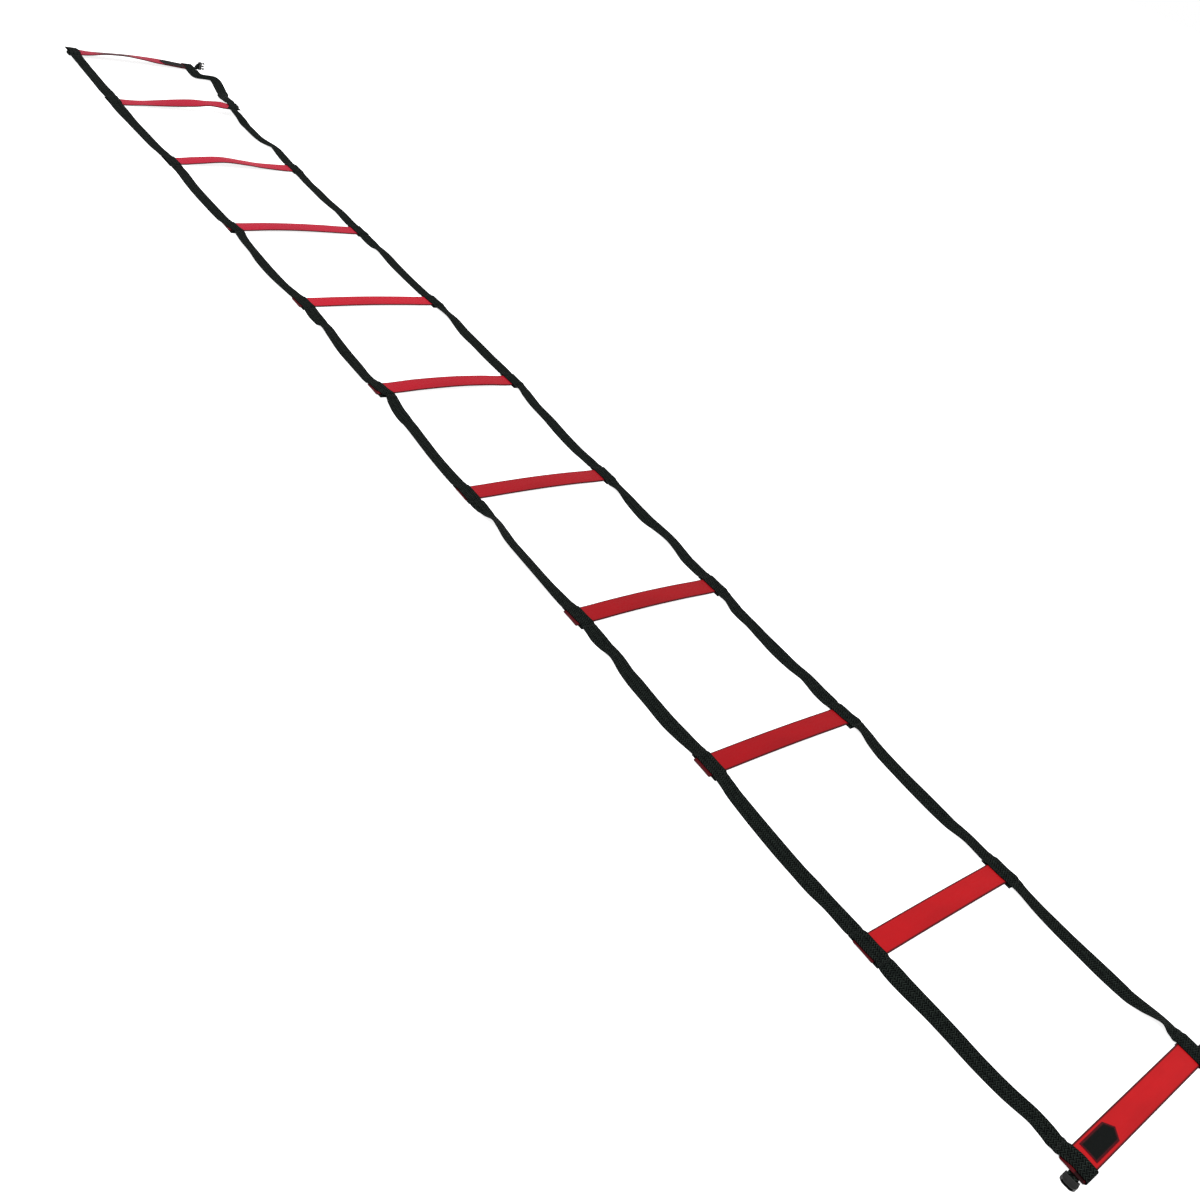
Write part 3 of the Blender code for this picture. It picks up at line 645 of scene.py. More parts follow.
@dataclass(frozen=True)
class Slot:
    """Where one slat lies: the middle of its clear width, its warp and how the straps cross it."""

    index: int
    x: float
    y: float
    base: float  # how high the webbing under its ends holds it
    clear_width: float
    propped: float  # how steeply it falls to its right end
    right_end: float
    warp: tuple[Knot, ...]
    crossings: tuple[Knot, Knot]
    yaw: float

    @property
    def body(self) -> str:
        """The body that carries the slat."""
        return f"section_{self.index:02d}"

    def crossing(self, side: Side) -> tuple[float, float, float]:
        """How far a strap's crossing is off along X, how short the slat's end is, and the roll there."""
        stray_mm, cut_mm, roll = self.crossings[0 if side is Side.LEFT else 1]
        return stray_mm * MM, cut_mm * MM, math.radians(roll)

    def ahead(self, x: float) -> float:
        """How much nearer the slat is at x, because it lies askew."""
        return math.tan(self.yaw) * (self.right_end - x)

    def share(self, x: float) -> float:
        """How far across the clear width x is, from 0 at its left to 1 at its right."""
        return (x - self.x) / self.clear_width + 0.5

    def bend(self, x: float) -> tuple[float, float]:
        """The slat's rise in metres and its twist in radians at x."""
        rise_mm, twist = follow(self.warp, self.share(x))
        return rise_mm * MM, math.radians(twist)

    def rise(self, x: float) -> float:
        """How far the slat's underside is above its usual height at x."""
        return self.bend(x)[0] + self.propped * (self.right_end - x)

    def is_raised(self, side: Side) -> bool:
        """Whether the strap comes down from a raised end on that side."""
        return bool(self.propped) or self.warp[0 if side is Side.LEFT else -1][1] > 0


@dataclass(frozen=True)
class Layout:
    """Sizes that the slats and the webbing share, with every slat's place."""

    slots: tuple[Slot, ...]
    clear_width: float = 0.386
    web_width: float = 0.038
    web_thickness: float = 0.0015
    clearance: float = 0.0003
    slat_width: float = 0.050
    slat_height: float = 0.003
    keeper_margin: float = 0.012
    overhang: float = 0.007
    tuck: float = 0.001

    @property
    def web(self) -> Band:
        """The side straps' webbing."""
        return Band(self.web_width, self.web_thickness)

    @property
    def half_web(self) -> float:
        """Half of the webbing's thickness."""
        return self.web_thickness / 2

    @property
    def layer(self) -> float:
        """One thickness of webbing with the air under it."""
        return self.web_thickness + self.clearance

    @property
    def offset(self) -> float:
        """From a slat's middle to the middle of its strap."""
        return (self.clear_width + self.web_width) / 2

    @property
    def half_keeper(self) -> float:
        """Half of the length of the patch under a slat's end."""
        return self.slat_width / 2 + self.keeper_margin

    @property
    def left_end(self) -> float:
        """From the middle of the clear width to a slat's left end, past the strap."""
        return self.clear_width / 2 + self.web_width + self.overhang

    @property
    def right_end(self) -> float:
        """From the middle of the clear width to a slat's right end, just inside the strap's edge."""
        return self.clear_width / 2 + self.web_width - self.tuck

    def crossing(self, slot: Slot, side: Side) -> float:
        """Where a strap's middle crosses a slat, along X."""
        return slot.x + side.value * self.offset + slot.crossing(side)[0]

    @classmethod
    def from_frame(cls) -> "Layout":
        """Reads each slat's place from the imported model.

        Returns:
            The layout, with its slots from the far slat to the near one.
        """
        sizes = cls(())
        slots = []
        for index in range(LAST + 1):
            low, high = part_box(f"rung_{index:02d}")
            x = low.x + sizes.left_end
            slots.append(
                Slot(
                    index=index,
                    x=x,
                    y=(low.y + high.y) / 2,
                    base=sizes.layer * (2 if index in (0, LAST) else 1),
                    clear_width=sizes.clear_width,
                    propped=PROP_SLOPE if index == 0 else 0.0,
                    right_end=x + sizes.right_end,
                    warp=WARPS[index],
                    crossings=CROSSINGS[index],
                    yaw=NEAR_YAW if index == LAST else 0.0,
                )
            )
        return cls(tuple(slots))


# Slats


@dataclass
class Slats:
    """The eleven extruded slats: a crowned top, a lip down each long edge and rounded corners."""

    layout: Layout
    material: bpy.types.Material
    wall: float = 0.0016
    crown: float = 0.0008
    crown_steps: int = 8
    shoulder: float = 0.0020
    shoulder_steps: int = 4
    foot: float = 0.25 * MM
    corner: float = 0.004
    step: float = 0.008
    # Painted shade on the far slat's twisted middle: from and to which shares across, and how dark it is
    twist_shade_shares: tuple[float, float] = (0.10, 0.52)
    twist_shade_fade_share: float = 0.12
    twist_shade_depth: float = 0.85
    # Painted shade on the near half of the near slat's left end: left of this share across, and nearer
    # than its middle by this much
    near_end_shade_share: float = -0.09
    near_end_shade_from: float = 3 * MM
    # The dye of each slat, far to near: they come from several runs, so their reds differ
    dyes: tuple[str, ...] = (
        "#b3173a", "#c21738", "#c81638", "#c61636", "#cf122d", "#be1128", "#b10e1e", "#aa0c18", "#ae0a16",
        "#c4121a", "#cc171d",
    )

    def drop(self, y: float) -> float:
        """How far the top falls away from its middle line."""
        return self.crown * (y / (self.layout.slat_width / 2)) ** 2

    def outline(self) -> list[tuple[float, float]]:
        """Draws half of the outside section.

        Returns:
            Places across and heights, from the middle line to the lip's foot.
        """
        half, height = self.layout.slat_width / 2, self.layout.slat_height
        flat = half - self.shoulder
        across = [flat * at / self.crown_steps for at in range(self.crown_steps + 1)]
        centre = (flat, height - self.drop(flat) - self.shoulder)
        bent = arc(centre, self.shoulder, math.pi / 2, 0, self.shoulder_steps)[1:]
        lip = [(half, self.foot), (half - self.foot, 0)]
        return [(y, height - self.drop(y)) for y in across] + bent + lip

    def inside(self) -> list[tuple[float, float]]:
        """Draws half of the inside section.

        Returns:
            Places across and heights, point for point with the outside section.
        """
        half, height = self.layout.slat_width / 2, self.layout.slat_height
        outline = self.outline()
        found = []
        for y, _ in outline[: self.crown_steps + 1]:
            kept = min(y, half - self.wall)
            found.append((kept, height - self.wall - self.drop(kept)))
        ceiling = height - self.wall - self.drop(half - self.wall)
        rest = len(outline) - len(found)
        return found + [(half - self.wall, ceiling * (1 - at / rest)) for at in range(1, rest + 1)]

    def inset(self, y: float) -> float:
        """How far the slat's end is drawn in by its rounded corner.

        Args:
            y: Distance across.

        Returns:
            The distance along the slat.
        """
        past = abs(y) - (self.layout.slat_width / 2 - self.corner)
        if past <= 0:
            return 0.0
        return self.corner - math.sqrt(max(self.corner**2 - past**2, 0.0))

    def placed(self, slot: Slot, along: float, y: float, z: float) -> Vector:
        """A point of a slat after its warp.

        Args:
            slot: The slat's place.
            along: Distance from the middle of the clear width, to the right.
            y: Distance across.
            z: Height above its underside.

        Returns:
            The point in the model's frame.
        """
        x = slot.x + along
        twist = slot.bend(x)[1]
        across = y * math.cos(twist) + z * math.sin(twist)
        height = z * math.cos(twist) - y * math.sin(twist)
        return Vector((x, slot.y - slot.ahead(x) + across, slot.base + slot.rise(x) + height))

    def build(self, slot: Slot) -> Mesh:
        """Builds one slat.

        Args:
            slot: The slat's place.

        Returns:
            Its mesh, each ring of which runs round the outside and back along the inside.
        """
        outer, inner = ([(-y, z) for y, z in half[:0:-1]] + half for half in (self.outline(), self.inside()))
        loop = outer + inner[::-1]
        left = slot.crossing(Side.LEFT)[1] - self.layout.left_end
        right = self.layout.right_end - slot.crossing(Side.RIGHT)[1]
        steps = round((right - left) / self.step)
        rings = []
        for at in range(steps + 1):
            ring = []
            for y, z in loop:
                start, end = left + self.inset(y), right - self.inset(y)
                along = start + (end - start) * at / steps
                ring.append((self.placed(slot, along, y, z), (along / MM, y / MM)))
            rings.append(ring)
        mesh = Mesh()
        mesh.add_loft(rings, capped=False)
        size = len(loop)
        for base, flip in ((0, False), (steps * size, True)):
            for at in range(len(outer) - 1):
                mate = size - 1 - at
                quad = (base + at, base + mate, base + mate - 1, base + at + 1)
                mesh.faces.append(quad[::-1] if flip else quad)
        return mesh

    def shade_amounts(self, slot: Slot, mesh: Mesh) -> list[float]:
        """Painted shade on a slat: its underside, the far slat's twisted middle, the near slat's left end.

        Args:
            slot: The slat's place.
            mesh: The slat's mesh.

        Returns:
            From 0 to 1 for each point.
        """
        outside = 2 * len(self.outline()) - 1
        (first, last), fade = self.twist_shade_shares, self.twist_shade_fade_share
        found = []
        for at, point in enumerate(mesh.points):
            share = slot.share(point.x)
            # The underside is painted in full shade
            wear_and_shade = 0.0 if at % (2 * outside) < outside else 1.0
            # The far slat's twisted middle is painted in shade
            if slot.index == 0:
                twist_shade = self.twist_shade_depth * smooth((share - first) / fade) * smooth((last - share) / fade)
                wear_and_shade = max(wear_and_shade, twist_shade)
            # The near half of the near slat's left end is painted in full shade
            rubbed_and_shaded = point.y < slot.y - slot.ahead(point.x) - self.near_end_shade_from
            if slot.index == LAST and share < self.near_end_shade_share and rubbed_and_shaded:
                wear_and_shade = 1.0
            found.append(wear_and_shade)
        return found

    def dress(self) -> None:
        """Builds every slat and puts it on its body."""
        for slot in self.layout.slots:
            node = f"rung_{slot.index:02d}"
            mesh = self.build(slot)
            made = mesh.to_object(f"slat_{slot.index:02d}", self.material)
            colour = linear(self.dyes[slot.index])[:3]
            # Each point carries its slat's colour, and in the alpha its painted shade
            dye = made.data.attributes.new("dye", "FLOAT_COLOR", "POINT")
            values = [value for scuff_and_shade in self.shade_amounts(slot, mesh) for value in (*colour, scuff_and_shade)]
            dye.data.foreach_set("color", values)
            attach(made, slot.body)
            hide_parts(node)
            log.info("%s stands for %s", made.name, node)


# Straps


@dataclass
class Straps:
    """The two side straps, each one run of webbing from the far slat to the near one."""

    layout: Layout
    material: bpy.types.Material
    edge_ramp: float = 0.008  # down from a slat's edge
    ramp: float = 0.010  # down from its keeper
    long_ramp: float = 0.090  # down from a raised slat's end
    approach: float = 0.170  # up to a raised slat's end, on its far side
    # The strap starts to roll and turn this far from a slat, and does so in full this much farther on
    free_from: float = 2 * MM
    free_over: float = 20 * MM
    turn_limit: float = math.radians(34)
    tail: float = 0.020  # how far the far left end runs on past the slat's edge
    hem_gap: float = 0.0009  # the air inside that end's hem
    return_reach: float = 0.026  # how far past the slat's middle a wrap comes back under it
    station_gap: float = 0.003
    # The strap's lead is measured this share of a bay to both sides
    look_share: float = 0.006
    seam_rows: tuple[float, ...] = (0.0338, 0.0362)
    seam_spread: float = 0.8 * MM
    seam_pull_share: float = 0.2
    top_steps: int = 8
    fall_steps: int = 6
    turn_steps: int = 12
    # A share of each bay's webbing, far to near: more where it stands high
    bend_runs: tuple[float, ...] = (
        0.066, 0.030, 0.050, 0.026, 0.050, 0.026, 0.040, 0.026, 0.040, 0.026,
    )
    bend_shifts: tuple[float, ...] = (0.011, 0, 0.0075, 0, 0.0085, 0, -0.006, 0, -0.006, 0)
    # How each bay's strap strays: share of the bay, mm sideways, degrees of roll (left edge up), mm of rise
    left_bays: tuple[tuple[Knot, ...], ...] = (
        ((0.08, -8, -5, 0), (0.16, -6.5, -6, 0), (0.25, -1.5, -6, 1), (0.45, 0.5, -6, 1), (0.64, 2, -7, 0),
         (0.78, 1.5, -12, 0), (0.88, 3, -13, 0)),
        ((0.10, -3, -14, 0), (0.20, -4, -14, 0), (0.34, -4.5, -4, 1), (0.52, -6, -2, 1), (0.76, -6, 0, 0),
         (0.88, -2, 2, 0)),
        ((0.12, 3, -1, 0), (0.20, 2.5, 0, 0), (0.36, -4.5, 0, 1), (0.52, -8, -2, 1), (0.74, -7.5, -3, 0),
         (0.88, -5.5, -2, 0)),
        ((0.07, 7, 14, 0), (0.14, 2, 13, 0), (0.24, -3, 12, 0), (0.38, -8, 12, 1), (0.48, -11, 5, 1),
         (0.64, -12.5, 3, 0), (0.78, -11.5, 6, 0), (0.88, -4.5, 3, 0)),
        ((0.08, 3.5, -2, 0), (0.17, -1.5, -8, 0), (0.24, 0, -3, 0), (0.31, 2, 10, 1), (0.42, -2.5, 9, 1),
         (0.58, -6, 2, 0), (0.74, -7.5, 3, 0), (0.84, -10, 7, 0), (0.91, -7, 3, 0)),
        ((0.08, 10.5, 15, 0), (0.16, 4.5, 5, 0), (0.28, -2, -4, 0), (0.36, -1, 3, 0), (0.46, -3.5, 6, 1),
         (0.66, -5, 6, 0), (0.82, -3, 3, 0), (0.90, -1, 1, 0)),
        ((0.10, 1, -9, 0), (0.15, 4.5, 0, 0), (0.20, 2, 12, 0), (0.26, 4, 25, 0), (0.33, -0.5, 24, 1),
         (0.42, -6, 18, 1), (0.56, -6, 15, 0), (0.74, -7, 13, 0), (0.84, -4.5, 7, 0)),
        ((0.10, 4, -2, 0), (0.17, -0.5, -8, 0), (0.24, 4, 2, 0), (0.30, 4.5, 7, 0), (0.38, -0.5, 1, 0),
         (0.47, -6.5, -7, 1), (0.60, -7, -5, 0), (0.73, -9.5, -8, 0), (0.82, -5, -5, 0),
         (0.89, 0.5, 1, 0)),
        ((0.10, 1, 3, 0), (0.20, -4.5, -2, 0), (0.34, -8.5, -5, 0), (0.49, -11, -6, 1), (0.60, -9, -5, 0),
         (0.69, -8, -8, 0), (0.78, -2, -1, 0), (0.90, -1, -4, 0)),
        ((0.07, 2, -6, 0), (0.13, -1.5, -12, 0), (0.20, -1.5, -10, 0), (0.32, 0.5, -5, 0),
         (0.42, -2, -4, 1), (0.56, -5, -3, 0), (0.68, -4.5, -2, 0), (0.80, 2, 1, 0), (0.86, 0, -2, 0),
         (0.93, -5, -3, 0)),
    )
    right_bays: tuple[tuple[Knot, ...], ...] = (
        ((0.10, -6, -13, 0), (0.19, -8, -16, 1), (0.228, -4, -15, 2), (0.244, 7, -14, 3),
         (0.253, 34, -14, 4), (0.270, 48, -12, 5), (0.31, 53, -9, 4), (0.40, 48, -10, 1),
         (0.52, 38.5, -8, 0), (0.62, 28, -8, 0), (0.70, 13, -6, 0), (0.80, 3, -5, 0), (0.90, 2, -3, 0)),
        ((0.07, -18, 13, 0), (0.12, -15.5, 9, 1), (0.20, -8, 3, 3), (0.30, -7.5, 4, 4),
         (0.46, -11.5, 4, 4), (0.53, -4, 0, 3), (0.59, 6, 3, 2), (0.65, 11.5, 9, 1), (0.76, 7.5, 3, 0),
         (0.88, 2, 0, 0)),
        ((0.12, 2, 3, 0), (0.24, -1.5, 4, 0), (0.36, -1, 1, 1), (0.50, -2.5, 1, 1), (0.62, 2, 1, 0),
         (0.71, 4.5, 3, 0), (0.88, 1, -1, 0)),
        ((0.08, 4, -2, 0), (0.18, 2.5, -4, 0), (0.24, 4.5, 1, 0), (0.30, 6, 8, 1), (0.37, 6, 5, 1),
         (0.50, 2, 1, 0), (0.68, -2.5, 2, 0), (0.88, -2, 1, 0)),
        ((0.08, 5, 5, 0), (0.15, 5, 12, 0), (0.23, 9, 10, 0), (0.34, 6, 2, 0), (0.45, -0.5, -4, 1),
         (0.58, 1.5, -3, 0), (0.72, 0, -4, 0), (0.88, 1, -5, 0)),
        ((0.11, 4, 10, 0), (0.18, 0, 6, 0), (0.28, -5, 4, 0), (0.44, -5, 1, 1), (0.60, -7.5, -1, 0),
         (0.75, -7, -1, 0), (0.86, -1.5, 0, 0)),
        ((0.08, 1.5, 2, 0), (0.16, 2, 12, 0), (0.24, 2, 2, 0), (0.34, -3.5, -5, 0), (0.43, -5, -7, 0),
         (0.51, 3.5, 0, 1), (0.62, 6, 6, 1), (0.70, 3, 6, 0), (0.80, -2, -1, 0), (0.90, -0.5, 0, 0)),
        ((0.08, 3, 2, 0), (0.14, 0.5, 8, 0), (0.22, -4.5, -1, 0), (0.32, -4, 2, 0), (0.42, -6, -1, 0),
         (0.53, -10.5, -6, 1), (0.64, -6, -3, 0), (0.73, 0.5, 0, 1), (0.84, -5.5, -8, 0),
         (0.91, -4, -7, 0)),
        ((0.08, 8, 8, 0), (0.13, 7, 12, 0), (0.20, 1, 5, 0), (0.28, -3, 0, 0), (0.40, -6, -1, 0),
         (0.56, -9, -4, 1), (0.68, -6.5, -2, 0), (0.80, 0, 6, 0), (0.88, 0, 6, 0)),
        ((0.08, 4, 6, 0), (0.13, 1.5, 9, 0), (0.22, -2.5, 5, 0), (0.32, -4.5, 1, 0), (0.44, -8.5, -1, 1),
         (0.56, -11, -5, 0), (0.67, -10.5, -3, 0), (0.76, -5.5, 7, 0), (0.82, 0, 17, 0),
         (0.86, 2.5, 20, 0), (0.90, 2, 9, 0), (0.93, 0.5, 2, 0)),
    )

    def hump(self, slot: Slot, side: Side, distance: float) -> float:
        """How high a strap's middle layer lies beside a slat, without the slat's own rise.

        Args:
            slot: The slat's place.
            side: Which strap.
            distance: From the slat's middle, along the ladder.

        Returns:
            The height above the floor.
        """
        ramp = self.long_ramp if slot.is_raised(side) else self.ramp
        off_keeper = smooth((distance - self.layout.half_keeper) / ramp)
        off_slat = smooth((distance - self.layout.slat_width / 2) / self.edge_ramp)
        rise = self.layout.slat_height + self.layout.clearance
        return self.layout.half_web + slot.base * (1 - off_keeper) + rise * (1 - off_slat)

    def lift(self, slot: Slot, side: Side, distance: float, ramp: float) -> float:
        """What is left of a slat's rise in a strap that comes down from it over a ramp's length."""
        own = slot.rise(self.layout.crossing(slot, side))
        return own * (1 - smooth((distance - self.layout.half_keeper) / ramp))

    def squeeze(self, distance: float) -> float:
        """How tight the seams beside a slat pull the webbing."""
        pull = sum(math.exp(-(((distance - row) / self.seam_spread) ** 2)) for row in self.seam_rows)
        return 1 - self.seam_pull_share * min(pull, 1.0)

    def sway(self, bay: int, side: Side, share: float) -> tuple[float, float, float]:
        """How a strap strays at a share of its bay.

        Args:
            bay: The farther slat's number.
            side: Which strap.
            share: 0 at the farther slat, 1 at the nearer one.

        Returns:
            Its place along X, its roll in radians and its rise.
        """
        far, near = self.layout.slots[bay], self.layout.slots[bay + 1]
        knots = (self.left_bays if side is Side.LEFT else self.right_bays)[bay]
        sideways, roll, rise = follow(((0, 0, 0, 0), *knots, (1, 0, 0, 0)), share)
        start, end = self.layout.crossing(far, side), self.layout.crossing(near, side)
        x = start + (end - start) * smooth(share) + sideways * MM
        return x, math.radians(roll), rise * MM

    def station(self, bay: int, side: Side, y: float, lead: float) -> Station:
        """One place of a strap between two slats.

        Args:
            bay: The farther slat's number.
            side: Which strap.
            y: The place along the ladder.
            lead: How far the strap runs sideways for each metre that it runs nearer.

        Returns:
            The station there.
        """
        far, near = self.layout.slots[bay], self.layout.slots[bay + 1]
        share = (far.y - y) / (far.y - near.y)
        x, roll, rise = self.sway(bay, side, share)
        slot = far if share < 0.5 else near
        distance = abs(y - slot.y)
        # Over a slat the strap lies as the slat holds it
        free = smooth((distance - self.layout.slat_width / 2 - self.free_from) / self.free_over)
        roll = roll * free + slot.crossing(side)[2] * (1 - free)
        turn = max(-self.turn_limit, min(self.turn_limit, math.atan(lead))) * free
        flat = Vector((math.cos(turn), math.sin(turn), 0))
        across = flat * math.cos(roll) - Vector((0, 0, math.sin(roll)))
        left_up = slot.propped * (1 - smooth((distance - self.layout.half_keeper) / self.long_ramp))
        across = (across - Vector((0, 0, left_up))).normalized()
        # A rolled strap stands on its lower edge
        stood = self.layout.web_width / 2 * abs(math.sin(roll))
        ramp = self.long_ramp if slot is far else self.approach
        z = self.hump(slot, side, distance) + self.lift(slot, side, distance, ramp) + stood + rise * free
        ahead = far.ahead(x) * (1 - smooth(share)) + near.ahead(x) * smooth(share)
        return Station(Vector((x, y - ahead, z)), across, self.squeeze(distance))

    def bay_stations(self, bay: int, side: Side) -> list[Station]:
        """A strap's stations from one slat's middle to the next one's.

        Args:
            bay: The farther slat's number.
            side: Which strap.

        Returns:
            The stations, closer together where the strap runs sideways.
        """
        far, near = self.layout.slots[bay], self.layout.slots[bay + 1]
        length = far.y - near.y
        found = []
        share = 0.0
        while True:
            before = self.sway(bay, side, max(share - self.look_share, 0))[0]
            after = self.sway(bay, side, min(share + self.look_share, 1))[0]
            lead = (after - before) / (2 * self.look_share * length)
            found.append(self.station(bay, side, far.y - length * share, lead))
            if share == 1:
                return found
            # The last step also takes what would be left of the bay
            step = self.station_gap / length / max(1, abs(lead))
            share = 1.0 if share + 1.5 * step >= 1 else share + step

    def wrap(self, slot: Slot, side: Side) -> list[Station]:
        """The strap's end, from an end slat's middle over its outer edge and back under it.

        Args:
            slot: The end slat's place.
            side: Which strap.

        Returns:
            The stations, outward and then back.
        """
        outward = 1 if slot.index == 0 else -1
        half, foot = self.layout.slat_width / 2, self.layout.half_web
        top = foot + slot.base + self.layout.slat_height + self.layout.clearance
        path = [(half * at / self.top_steps, top) for at in range(self.top_steps)]
        if slot.index == 0 and side is Side.LEFT:
            radius = (self.layout.web_thickness + self.hem_gap) / 2
            centre = half + self.tail - radius
            fall = top - foot - 2 * radius
            shares = [at / self.fall_steps for at in range(self.fall_steps + 1)]
            path += [(half + self.ramp * share, top - fall * smooth(share)) for share in shares]
        else:
            radius = (top - foot) / 2
            centre = half - foot
        path += arc((centre, foot + radius), radius, math.pi / 2, -math.pi / 2, self.turn_steps)
        back = centre + self.return_reach
        path += [(centre - back * at / self.turn_steps, foot) for at in range(1, self.turn_steps + 1)]
        x = self.layout.crossing(slot, side)
        across = Vector((1, 0, -slot.propped)).normalized()
        y = slot.y - slot.ahead(x)
        return [Station(Vector((x, y + outward * d, z + slot.rise(x))), across) for d, z in path]

    def dress(self) -> None:
        """Builds both straps, and puts each wrapped end on its end slat's body."""
        for side in Side:
            far_end = self.wrap(self.layout.slots[0], side)[::-1]
            near_end = self.wrap(self.layout.slots[LAST], side)
            runs = [far_end] + [self.bay_stations(bay, side) for bay in range(LAST)] + [near_end]
            whole = runs[0] + [station for run in runs[1:] for station in run[1:]]
            normals = normals_of(whole)
            first, gone = 0, 0.0
            for bay, run in enumerate(runs, start=-1):
                last = first + len(run) - 1
                mesh = Mesh()
                self.layout.web.fill(mesh, whole[first : last + 1], normals[first : last + 1], gone)
                gone = mesh.lay[-1][1]
                self.finish_run(mesh, bay, side)
                first = last

    def finish_run(self, mesh: Mesh, bay: int, side: Side) -> None:
        """Makes one length's object; a wrapped end rides its end slat's body.

        Args:
            mesh: The length's mesh.
            bay: The bay that it crosses, or -1 and LAST for the wrapped ends.
            side: Which strap.
        """
        if bay in (-1, LAST):
            index = max(bay, 0)
            made = mesh.to_object(f"strap_{side.word}_end_{index:02d}", self.material)
            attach(made, f"section_{index:02d}")
            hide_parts(f"strap_{side.word}_{index:02d}")
        else:
            far, near = self.layout.slots[bay], self.layout.slots[bay + 1]
            made = mesh.to_object(f"strap_{side.word}_bay_{bay:02d}", self.material)
            x = self.layout.crossing(far, side)
            far.body
            near.body
            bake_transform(made)
            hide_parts(f"strap_{side.word}_{bay:02d}", f"strap_{side.word}_{bay + 1:02d}")
        log.info("%s is laid", made.name)


@dataclass
class Keepers:
    """The short webbing patches sewn under the slats' ends."""

    layout: Layout
    material: bpy.types.Material
    tucked: float = 0.003  # how far a short one stays inside the slat's edges
    steps: int = 24

    def stations(self, slot: Slot, side: Side) -> list[Station]:
        """Lays one keeper flat under its slat, and shorter where the slat's end is raised.

        Args:
            slot: The slat's place.
            side: Which strap.

        Returns:
            The keeper's stations.
        """
        half = self.layout.slat_width / 2 - self.tucked if slot.is_raised(side) else self.layout.half_keeper
        x = self.layout.crossing(slot, side)
        z = self.layout.half_web + slot.rise(x)
        ys = [slot.y + half - 2 * half * at / self.steps for at in range(self.steps + 1)]
        return [Station(Vector((x, y, z)), Vector((1, 0, 0))) for y in ys]

    def dress(self) -> None:
        """Builds each keeper on its slat's body."""
        for slot in self.layout.slots[1:LAST]:
            for side in Side:
                stations = self.stations(slot, side)
                mesh = Mesh()
                self.layout.web.fill(mesh, stations, normals_of(stations), 0)
                made = mesh.to_object(f"keeper_patch_{side.word}_{slot.index:02d}", self.material)
                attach(made, slot.body)
                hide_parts(f"keeper_{side.word}_{slot.index:02d}")
                log.info("%s closes its pocket", made.name)


# Corner tabs


